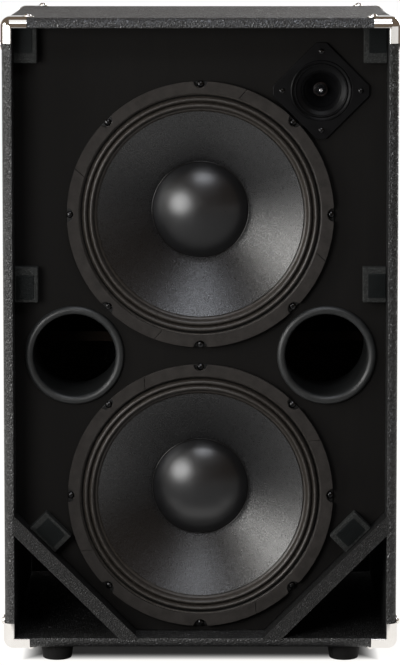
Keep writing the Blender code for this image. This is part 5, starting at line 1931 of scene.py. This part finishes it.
@dataclass
class Tweeter:
    """A small horn on a clipped square flange, with its plug, ring diaphragm and motor."""

    x: float = 0.141141
    y: float = -0.1498
    z: float = 0.673479
    side: float = 0.088
    reach: float = 0.0565
    flange: float = 0.0035
    flange_edge: float = 0.0008
    corner: float = 0.0015
    mouth: float = 0.034
    rim: float = 0.0025
    depth: float = 0.030
    throat: float = 0.009
    curve: float = 1.5
    step_radius: float = 0.020
    ledge: float = 0.0294
    step: float = 0.002
    lip: Section = ((0.0025, -0.0006), (0.0021, -0.0001), (0.0009, 0.0010, 0.0003),
                    (0.0, 0.0010, 0.0004), (0.0, -0.0022, 0.0004), (-0.0022, -0.0030, 0.0004),
                    (-0.0030, -0.0016, 0.0004), (-0.0044, -0.0016, 0.0006), (-0.0050, -0.0034))
    flare_top: float = -0.0040
    # Bands of the rim's crest and of the ledge that get grey metal as a painted highlight:
    bright_crest: Point = (0.0005, 0.0004)
    bright_ledge: Point = (0.0006, -0.0034)
    polished: Point = (0.0010, 0.004)
    screw_reach: float = 0.046
    screw_head: float = 0.0034
    plug_tip: Section = ((0.0, -0.0095), (0.0009, -0.0095), (0.0013, -0.0088, 0.0002),
                         (0.0022, -0.0094, 0.0006), (0.0027, -0.0110))
    plug_stem: Section = ((0.0028, -0.0112), (0.0046, -0.0160, 0.004), (0.0058, -0.0215, 0.004),
                          (0.0060, -0.0270, 0.003), (0.0050, -0.0332), (0.0, -0.0332))
    plug_joint: float = -0.0111
    film_inner: float = 0.0069
    film_width: float = 0.0130
    film_depth: float = 0.0320
    film_arch: float = 0.0008
    film: float = 0.0004
    motor_radius: float = 0.026
    motor: Section = ((0.0, -0.0032), (0.0206, -0.0032), (0.0206, 0.0, 0.0004),
                      (0.026, 0.0, 0.001), (0.026, -0.007, 0.0006), (0.025, -0.0075, 0.0002),
                      (0.025, -0.0145, 0.0002), (0.026, -0.015, 0.0006),
                      (0.026, -0.026, 0.002), (0.0, -0.026))

    @property
    def where(self) -> Matrix:
        """The tweeter's own frame, on its flange's front face."""
        return Look.FRONT.at(self.x, self.y, self.z)

    def bowl(self, radius: float) -> float:
        """Depth of the flare at a radius, without its step."""
        share = (radius - self.throat) / (self.mouth - self.throat)
        return self.depth * max(1 - share, 0.0) ** self.curve

    def horn(self) -> None:
        """The flange, its raised rim and the stepped bowl, in one moulding."""
        half = self.side / 2
        clip = math.sqrt(2) * self.reach - half
        corners = [Vector(corner) for corner in (
            (half, -clip), (half, clip), (clip, half), (-clip, half), (-half, clip),
            (-half, -clip), (-clip, -half), (clip, -half))]
        turn = Matrix.Rotation(math.pi / 4, 2)
        outline = fillet([(*(turn @ corner), self.corner) for corner in corners], 3)
        outer = self.mouth + self.rim
        horn = Shape(self.where).plate(outline, -self.flange, 0.0, self.flange_edge,
                                       [circle(outer - self.flange_edge, 96)])
        face = [(radius, -self.bowl(radius) + self.step)
                for radius in steps_between(self.mouth, self.step_radius, 12)]
        face += [(radius - self.step / 4, -self.bowl(radius))
                 for radius in steps_between(self.step_radius, self.throat, 10)]
        section = fillet([(self.mouth + outset, *rest) for outset, *rest in self.lip], 3, False)
        section += [point for point in face if point[1] < self.flare_top]
        section += [(self.throat - self.step / 4, -self.depth),
                    (self.motor_radius, -self.depth), (outer, -self.depth / 3)]

        def inside(middle: Vector) -> int:
            """The rim's crest and the ledge, in grey metal as a painted highlight, and the
            polished bowl.

            Args:
                middle: A face's middle.

            Returns:
                The number of its finish.
            """
            radius = middle.xy.length
            out, top = self.bright_crest
            near, height = self.bright_ledge
            if (radius > self.mouth + out and middle.z > top) or (
                    abs(radius - self.ledge) < near and middle.z > height):
                return 2
            out, reach = self.polished
            return int(radius < self.mouth + out and middle.z > -self.bowl(radius) - reach)

        horn.turn(section, steps=128, tint=inside)
        horn.done("tweeter_horn_moulding", (HORN, BOWL, RIM_HIGHLIGHT), "tweeter_horn", crease=32.0)

    def inner_pieces(self) -> None:
        """The plug on the axis, the diaphragm round it and the motor behind."""
        # The plug's stem, deep in the throat, is drawn near black: painted shade.
        Shape(self.where).turn(
            fillet(self.plug_tip, 3, False) + fillet(self.plug_stem, 5, False), steps=64,
            tint=lambda middle: int(middle.z < self.plug_joint)).done(
            "tweeter_plug", (ALUMINIUM, BORE_SHADE), "tweeter_phase_plug")
        ring = [(self.film_inner + self.film_width * share,
                 self.film_arch * math.sin(math.pi * share) - self.film_depth)
                for share in steps_between(0.0, 1.0, 24)]
        back = [(radius, z - self.film) for radius, z in reversed(ring)]
        Shape(self.where).turn(ring + back).done(
            "tweeter_ring_diaphragm", (FILM,), "tweeter_diaphragm", Body.TWEETER, 60.0)
        Shape(self.where @ Matrix.Translation((0.0, 0.0, -self.depth - GAP))).turn(
            self.motor, 3, 80).done("tweeter_motor_turned", (STEEL,), "tweeter_motor")

    def build(self, shop: Workshop) -> None:
        """Make the tweeter with its four screws.

        Args:
            shop: The shared tools.
        """
        self.horn()
        self.inner_pieces()
        places = [(self.where @ Vector((*point, 0.0)), Vector((0.0, -1.0, 0.0)))
                  for point in circle(self.screw_reach, 4)]
        shop.fasten("tweeter_screws", places, self.screw_head, SCREW, 7)


# Rear connector dish and side handles

@dataclass
class JackSocket:
    """A jack socket: hexagon nut and washer outside, barrel and body inside."""

    side: Side
    nut_radius: float = 0.0088
    nut_corner: float = 0.0006
    nut_bore: float = 0.0040
    nut_heights: Point = (0.0012, 0.0033)
    nut_edge: float = 0.0004
    facets: int = 48
    barrel: Section = ((0.0035, 0.0036, 0.0004), (0.0055, 0.0036, 0.0005), (0.0055, -0.0233),
                       (0.0035, -0.0233))
    bottom: Section = ((0.0, -0.0234), (0.0037, -0.0234), (0.0037, -0.0229), (0.0, -0.0229))
    washer: Section = ((0.0056, 0.0004), (0.0090, 0.0004), (0.0090, 0.0012, 0.0003),
                       (0.0056, 0.0012))
    body: Section = ((0.0054, -0.0034), (0.0098, -0.0034, 0.0008), (0.0098, -0.0258, 0.0012),
                     (0.0, -0.0258), (0.0, -0.0232), (0.0054, -0.0232))

    def build(self, where: Matrix) -> None:
        """Make the socket.

        Args:
            where: Its frame, on the dish's floor.
        """
        hexagon = fillet([(*point, self.nut_corner) for point in circle(self.nut_radius, 6)], 3)
        label = f"speaker_socket_{self.side.label}"
        Shape(where).plate(hexagon, *self.nut_heights, self.nut_edge,
                           [circle(self.nut_bore, self.facets)]).turn(
            self.barrel, 3, self.facets).turn(self.bottom, steps=self.facets).turn(
            self.washer, 2, self.facets, tint=1).turn(self.body, 3, self.facets).done(
            label + "_parts", (PLASTIC, NICKEL), label)


@dataclass
class LevelKnob:
    """A ribbed knob with its skirt, pointer and shaft, and the marks on the dish round it."""

    body: Section = ((0.0, 0.0178), (0.0086, 0.0178, 0.0012), (0.0102, 0.0034, 0.0005),
                     (0.0138, 0.0030, 0.0006), (0.0138, 0.0011, 0.0004), (0.0029, 0.0011),
                     (0.0029, -0.0125), (0.0, -0.0125))
    pointer: Brick = ((-0.0006, 0.0030, 0.0172), (0.0006, 0.0082, 0.0182), 0.0002)
    skirt_line: Brick = ((-0.0005, 0.0100, 0.0029), (0.0005, 0.0134, 0.0036), 0.0001)
    rib: Brick = ((-0.0063, -0.0005, -0.0008), (0.0063, 0.0005, 0.0006), 0.0003)
    ribs: int = 24
    rib_radius: float = 0.0094
    rib_height: float = 0.0102
    mark: Brick = ((0.0162, -0.0004, -0.0001), (0.0190, 0.0004, 0.0003), 0.0001)
    long_mark: Brick = ((0.0162, -0.0004, -0.0001), (0.0202, 0.0004, 0.0003), 0.0001)
    marks: int = 11
    first_mark: float = 240.0
    mark_step: float = 30.0

    def build(self, where: Matrix, shop: Workshop) -> None:
        """Make the knob and its scale.

        Args:
            where: The knob's frame, on the dish's floor.
            shop: The shared tools.
        """
        piece = Shape(where).turn(self.body, 4, 72).block(*self.pointer, tint=1).block(
            *self.skirt_line, tint=1).mesh()
        rib = shop.keep("rib", Shape().block(*self.rib).mesh())
        ways = [Vector((*point, 0.0)) for point in circle(1.0, self.ribs)]
        places = [(way * self.rib_radius + Vector((0.0, 0.0, self.rib_height)), way)
                  for way in ways]
        ribs = shop.fixings.put(rib, places, 1.0, PLASTIC, 1, twist=0.0)
        ribs.transform(where)
        enrol("level_knob_ribbed", merged(piece, ribs), (PLASTIC, MARK), ("level_knob",),
              Body.KNOB)
        marks = Shape(where)
        for i in range(self.marks):
            turn = math.radians(self.first_mark - self.mark_step * i)
            marks.block(*(self.mark if i % 5 else self.long_mark),
                        shift=Matrix.Rotation(turn, 4, "Z"))
        marks.done("level_marks", (MARK,))


@dataclass
class Crossover:
    """The board behind the dish: control, air coil and two capacitors with their leads."""

    size: Point = (0.056, 0.080)
    corner: float = 0.0015
    front: float = 0.010
    back: float = 0.0116
    edge: float = 0.0002
    control: Section = ((0.0036, 0.0004), (0.0138, 0.0004, 0.001), (0.0138, 0.0102),
                        (0.0036, 0.0102))
    coil_y: float = 0.020
    coil_foot: Section = ((0.0080, -0.0002), (0.0165, -0.0002))
    coil_top: Section = ((0.0160, 0.0138), (0.0085, 0.0138), (0.0080, 0.0130))
    wire: Section = ((0.0170, 0.0012), (0.0164, 0.0019))
    wires: int = 9
    wire_pitch: float = 0.0013
    can: Section = ((0.0, -0.0155), (0.0076, -0.0155, 0.0008), (0.0076, -0.0125),
                    (0.0072, -0.0120), (0.0076, -0.0115), (0.0076, 0.0155, 0.0008),
                    (0.0, 0.0155))
    can_x: float = 0.014
    can_y: float = -0.020
    can_z: float = 0.0072
    lead: Section = ((0.0150, 0.0072), (0.0180, 0.0072), (0.0188, 0.0060), (0.0188, -0.0004))
    lead_radius: float = 0.0004

    def build(self, where: Matrix) -> None:
        """Make the board with its parts.

        Args:
            where: Its frame, which looks into the cabinet.
        """
        board = Shape(where).plate(oblong(*self.size, self.corner), self.front, self.back,
                                   self.edge).turn(self.control, 3, 48, tint=1)
        winds = list(self.coil_foot)
        for i in range(self.wires):
            winds += [(radius, z + self.wire_pitch * i) for radius, z in self.wire]
        board.turn(winds + list(self.coil_top), steps=64, tint=2,
                   shift=Matrix.Translation((0.0, self.coil_y, self.back)))
        for x in (-self.can_x, self.can_x):
            lying = (Matrix.Translation((x, self.can_y, self.back + self.can_z))
                     @ Matrix.Rotation(math.pi / 2, 4, "X"))
            board.turn(self.can, 3, 40, tint=3, shift=lying)
            for end in (-1, 1):
                board.rod([(x, self.can_y + end * y, self.back + z) for y, z in self.lead],
                          self.lead_radius, 4, 8)
        board.done("crossover_parts", (BOARD, ZINC, COPPER, SLEEVE, ALUMINIUM),
                   "crossover_board")


@dataclass
class ConnectorDish:
    """The moulded dish in the back with its sockets, level knob and crossover board."""

    z: float = 0.47162
    face: float = 0.1893
    floor: float = 0.1523
    width: float = 0.130
    height: float = 0.094
    depth: float = 0.040
    wall: float = 0.003
    flange: float = 0.012
    radius: float = 0.012
    inner_radius: float = 0.002
    face_edge: float = 0.001
    mouth_edge: float = 0.0015
    draft: float = 0.0006
    floor_inset: float = 0.0035
    floor_edge: float = 0.003
    socket_xs: Point = (0.014, 0.046)
    socket_hole: float = 0.0063
    knob_x: float = -0.034
    shaft_hole: float = 0.0037
    tool_reach: float = 0.02
    board_gap: float = 0.0033
    screw_outset: float = 0.0055
    screw_head: float = 0.0034

    def ring(self, inset: float, y: float) -> list[Vector]:
        """A rounded ring of the dish at an inset from its cup's outside and a depth."""
        outline = oblong(self.width - 2 * inset, self.height - 2 * inset,
                         max(self.radius - inset, self.inner_radius), 8, 0.0, self.z)
        return [Vector((x, y, z)) for x, z in outline]

    def on_floor(self, x: float) -> Matrix:
        """A frame on the dish's floor that looks out of the back."""
        return Look.REAR.at(x, self.floor, self.z)

    def moulding(self) -> None:
        """The flange and cup as one shell of even wall, with its holes."""
        wall, face, edge = self.wall, self.face, self.floor_edge
        back = face - self.depth
        section = [(wall + self.floor_inset, self.floor),
                   (wall + self.draft, self.floor + edge), (wall, face - self.mouth_edge),
                   (wall - self.mouth_edge, face), (self.face_edge - self.flange, face),
                   (-self.flange, face - self.face_edge), (-self.flange, face - wall),
                   (0.0, face - wall), (0.0, back + edge), (edge, back)]
        shell = Shape().loft([self.ring(inset, y) for inset, y in section]).mesh()
        reach = self.tool_reach
        holes = [(x, self.socket_hole) for x in self.socket_xs]
        tools = [Shape(self.on_floor(x)).turn(
            [(0.0, -reach), (bore, -reach), (bore, reach), (0.0, reach)], steps=48).mesh()
            for x, bore in holes + [(self.knob_x, self.shaft_hole)]]
        enrol("connector_dish_moulding", carved(shell, *tools), (PLASTIC,), ("connector_dish",))

    def build(self, shop: Workshop) -> None:
        """Make the dish and what it carries.

        Args:
            shop: The shared tools.
        """
        self.moulding()
        for side, x in zip(Side, self.socket_xs):
            JackSocket(side).build(self.on_floor(x))
        LevelKnob().build(self.on_floor(self.knob_x), shop)
        Crossover().build(Look.FRONT.at(self.knob_x, self.floor - self.board_gap, self.z))
        across = self.width / 2 + self.screw_outset
        up = self.height / 2 + self.screw_outset
        places = [(Vector((x * across, self.face, self.z + z * up)), Vector((0, 1, 0)))
                  for x in (-1, 1) for z in (-1, 1)]
        shop.fasten("dish_screws", places, self.screw_head, SCREW, 11)


@dataclass
class SideHandle:
    """A moulded recess whose overhanging upper lip is the grip."""

    side: Side
    z: float = 0.528341
    face: float = 0.2328
    depth: float = 0.052
    width: float = 0.140
    height: float = 0.100
    flange: float = 0.010
    flange_height: float = 0.0025
    flange_edge: float = 0.0010
    wall: float = 0.003
    radius: float = 0.014
    room_edge: float = 0.0025
    grip_height: float = 0.030
    grip_thickness: float = 0.016
    ease: float = 0.0012
    tool_reach: float = 0.01
    screw_outset: Point = (0.0015, 0.0045)
    screw_head: float = 0.0034

    def build(self, shop: Workshop) -> None:
        """Make the handle with its four screws.

        Args:
            shop: The shared tools.
        """
        look = Look.RIGHT if self.side is Side.RIGHT else Look.LEFT
        where = look.at(0.0, 0.0, self.z)
        label = f"side_handle_{self.side.label}"
        wall, bottom = self.wall, self.face - self.depth
        width, radius = self.width - 2 * wall, self.radius - wall
        mouth = self.height - wall - self.grip_height
        flange = Shape(where).plate(
            oblong(self.width + 2 * self.flange, self.height + 2 * self.flange, self.radius, 8),
            self.face - self.flange_height, self.face, self.flange_edge).mesh()
        cup = Shape(where).plate(oblong(self.width, self.height, self.radius, 8), bottom,
                                 self.face - self.flange_edge, wall).mesh()
        tools = [Shape(where).plate(oblong(width, self.height - 2 * wall, radius, 8),
                                    bottom + wall, self.face - self.grip_thickness,
                                    self.room_edge).mesh(),
                 Shape(where).plate(
                     oblong(width, mouth, radius, 8, 0.0, wall + (mouth - self.height) / 2),
                     bottom + 2 * wall, self.face + self.tool_reach).mesh()]
        shell = carved(carved(flange, cup, operation="UNION"), *tools)
        enrol(label + "_moulding", eased(shell, self.ease, 3, 60), (PLASTIC,), (label,),
              crease=30.0)
        across = self.width / 2 + self.screw_outset[0]
        up = self.height / 2 + self.screw_outset[1]
        places = [(where @ Vector((x * across, y * up, self.face)),
                   Vector((self.side.value, 0, 0))) for x in (-1, 1) for y in (-1, 1)]
        shop.fasten(label + "_screws", places, self.screw_head, SCREW, 17 + self.side.value)


# Floor, light and camera

@dataclass(frozen=True)
class Lamp:
    """A soft elliptical lamp that faces the cabinet, with its power in watts."""

    name: str
    at: Colour
    size: Point
    power: float
    tone: Colour = WHITE
    aim: Colour = (0.0, -0.15, 0.40)

    def build(self) -> None:
        """Hang the lamp."""
        data = bpy.data.lights.new(self.name, "AREA")
        data.shape = "ELLIPSE"
        data.size, data.size_y = self.size
        data.energy = self.power
        data.color = self.tone
        made = put(self.name, data)
        made.location = self.at
        way = Vector(self.aim) - Vector(self.at)
        made.rotation_euler = way.to_track_quat("-Z", "Y").to_euler()


@dataclass
class Studio:
    """The pale floor, the soft lights and the camera of the photograph.

    A ramp is where a value of the direction or place starts and stops to change what is seen,
    with what it changes from and to where these aren't 0 and 1.
    """

    camera_at: Colour = (0.00419, -3.8431, 0.9085)
    pitch: float = 5.611
    yaw: float = 0.035
    lens: float = 171.51
    sensor: float = 36.0
    shift: Point = (-0.0032, -0.1995)
    ambient: float = 0.05
    # What glossy rays alone see in the world, a painted reflection: a brown room, bands, pale
    # walls, lamps and a backdrop.
    room: Colour = (0.13, 0.10, 0.075)
    band_level: float = 0.042
    band_rise: Ramp = (0.020, 0.035, 1.0, 0.0)
    band_front: Ramp = (0.15, 0.05)
    left_wall: Ramp = (-0.50, -0.62)
    right_wall: Ramp = (0.02, 0.12, 0.0, 0.8)
    lamp_rise: Ramp = (0.58, 0.68)
    lamp_front: Ramp = (-0.10, -0.20)
    lamp_side: Ramp = (0.10, 0.20, 1.0, 0.0)
    backdrop: float = 0.75
    backdrop_front: Ramp = (0.6, 0.9)
    backdrop_rise: Ramp = (0.15, 0.40, 1.0, 0.0)
    floor_half: float = 4.0
    floor_tone: float = 0.12
    floor_glow: Colour = (1.0, 0.985, 0.965)
    # Where the painted shadow under the cabinet fades out:
    shadow_side: Ramp = (0.186, 0.212)
    shadow_end: Ramp = (0.130, 0.165)
    shadow_fade: Ramp = (0.0, 1.0, 0.02, 0.98)
    # Where the bright cards lie that glossy rays alone see on the floor, a painted reflection:
    card_side: Ramp = (0.17, 0.20, 0.0, 0.85)
    card_front: Ramp = (-0.42, -0.36)
    strip_back: Ramp = (-0.20, -0.22, 0.0, 0.85)
    strip_front: Ramp = (-0.34, -0.28, 0.28, 1.0)
    lamps: tuple[Lamp, ...] = (
        Lamp("front_left", (-0.84, -1.51, 0.70), (0.80, 0.80), 14.0),
        Lamp("side_left", (-2.0, -0.78, 1.28), (1.3, 1.0), 24.0, (1.0, 0.99, 0.96)),
        Lamp("wall_left", (-2.1, -0.78, 0.65), (1.0, 1.2), 9.0, (1.0, 0.99, 0.97)),
        Lamp("front_top", (0.30, -2.60, 2.90), (1.7, 0.8), 17.0, (0.90, 0.93, 1.0)),
        Lamp("top_strip", (0.05, -0.30, 1.30), (0.5, 0.2), 2.0, (0.84, 0.89, 1.0)),
        Lamp("behind_right", (1.8, 2.9, 1.5), (1.8, 1.6), 62.0))

    def camera(self) -> None:
        """Stand the camera where the photograph was taken from."""
        data = bpy.data.cameras.new("camera")
        data.lens = self.lens
        data.sensor_width = self.sensor
        data.shift_x, data.shift_y = self.shift
        data.clip_end = 100.0
        made = put("camera", data)
        made.location = self.camera_at
        made.rotation_euler = (math.radians(90.0 - self.pitch), 0.0, math.radians(self.yaw))
        bpy.context.scene.camera = made

    def world(self) -> None:
        """A white surround, dim as light; glossy rays alone see a painted reflection of a brown
        room with pale walls and lamps.
        """
        made = bpy.data.worlds.new("studio")
        w = Wiring.bare(made)
        path = w.node("ShaderNodeLightPath").outputs
        x, y, z = w.axes(w.node("ShaderNodeTexCoord").outputs["Generated"])
        # The glossy-only pattern: a painted reflection of bands, walls, lamps and a backdrop that
        # light nothing.
        high = w.math("ABSOLUTE", w.math("ADD", z, self.band_level))
        band = w.times(w.span(high, *self.band_rise), w.span(y, *self.band_front))
        walls = w.math("MAXIMUM", w.span(x, *self.left_wall), w.span(x, *self.right_wall))
        painted_lamps = w.times(w.span(z, *self.lamp_rise), w.span(y, *self.lamp_front))
        painted_lamps = w.times(painted_lamps, w.span(w.math("ABSOLUTE", x), *self.lamp_side))
        behind = w.times(w.span(y, *self.backdrop_front), w.span(z, *self.backdrop_rise))
        pale = w.math("MAXIMUM", w.times(band, walls), painted_lamps)
        mirrored = w.mix(behind, w.mix(pale, self.room, WHITE), (self.backdrop,) * 3)
        seen = w.math("MAXIMUM", path["Is Camera Ray"], path["Is Transmission Ray"])
        plain = w.mix(seen, (self.ambient,) * 3, WHITE)
        light = w.out("ShaderNodeBackground",
                      {"Color": w.mix(path["Is Glossy Ray"], plain, mirrored), "Strength": 1.0})
        w.node("ShaderNodeOutputWorld", {"Surface": light})
        bpy.context.scene.world = made

    def floor(self) -> None:
        """A white floor with a painted shadow under the cabinet, and painted reflections of bright
        cards that glossy rays alone see.
        """
        made = bpy.data.materials.new("floor_white")
        w = Wiring.bare(made)
        path = w.node("ShaderNodeLightPath").outputs
        place = w.node("ShaderNodeTexCoord").outputs["Object"]
        ahead = w.axes(place)[1]
        side, end, _ = w.axes(w.vector("ABSOLUTE", {0: place}))
        # Camera rays see the floor glow white, fading to dark under the cabinet: a painted shadow.
        clear = w.math("MAXIMUM", w.span(side, *self.shadow_side),
                       w.span(end, *self.shadow_end))
        glow_with_painted_shadow = w.times(path["Is Camera Ray"], w.span(w.times(clear, clear), *self.shadow_fade))
        # Glossy rays alone see bright cards beside and in front of the cabinet: a painted
        # reflection.
        near = w.times(w.span(side, *self.card_side), w.span(ahead, *self.card_front))
        strip = w.times(w.span(ahead, *self.strip_back), w.span(ahead, *self.strip_front))
        painted_reflection_card = w.times(path["Is Glossy Ray"], w.math("MAXIMUM", near, strip))
        shader = w.out("ShaderNodeBsdfPrincipled",
                       {"Base Color": (self.floor_tone,) * 3 + (1.0,), "Roughness": 0.9,
                        "Specular IOR Level": 0.1, "Emission Color": (*self.floor_glow, 1.0),
                        "Emission Strength": w.math("ADD", glow_with_painted_shadow, painted_reflection_card)})
        w.node("ShaderNodeOutputMaterial", {"Surface": shader})
        form = bmesh.new()
        bmesh.ops.create_grid(form, x_segments=1, y_segments=1, size=self.floor_half)
        mesh = bpy.data.meshes.new("floor")
        form.to_mesh(mesh)
        form.free()
        mesh.materials.append(made)
        piece = put("floor", mesh)

    def build(self) -> None:
        """Set the studio up."""
        self.camera()
        self.world()
        self.floor()
        for lamp in self.lamps:
            lamp.build()
        bpy.context.scene.view_settings.view_transform = "Standard"


def main() -> None:
    """Build the studio and every piece of the cabinet."""
    logging.basicConfig(level=logging.INFO, format="%(message)s")
    Studio().build()
    shop = Workshop()
    Cabinet().build(shop)
    blocks = [GrilleBlock("top_left", -0.20395, 0.72709, pad_shift=(-0.002, 0.0055)),
              GrilleBlock("top_right", 0.20395, 0.72709, pad_shift=(0.002, 0.0055)),
              GrilleBlock("middle_left", -0.20395, 0.44677, pad_shift=(-0.0015, -0.003)),
              GrilleBlock("middle_right", 0.20395, 0.44677, pad_shift=(0.0025, -0.001)),
              GrilleBlock("low_left", -0.176995, 0.152765, 45.0),
              GrilleBlock("low_right", 0.176995, 0.152765, -45.0)]
    for seed, block in enumerate(blocks):
        block.build(shop, seed)
    screws = [screw for back in (-1, 1) for up in (1, -1) for side in Side
              for screw in MetalCorner(side=side, back=back, up=up).build()]
    shop.fasten("corner_screws", screws, MetalCorner.head, NICKEL, 5)
    feet = [Foot(side, back).build() for back in (-1, 1) for side in Side]
    shop.fasten("foot_screws", feet, Foot.head, ZINC, 9)
    for side in Side:
        PortTube(side).build()
        SideHandle(side).build(shop)
    Woofer("upper", 0.528341, Body.UPPER, seam=69.7).build(shop, 21)
    Woofer("lower", 0.1949, Body.LOWER, seam=25.0).build(shop, 22)
    Tweeter().build(shop)
    ConnectorDish().build(shop)
    shop.clear()


if __name__ == "__main__":
    main()
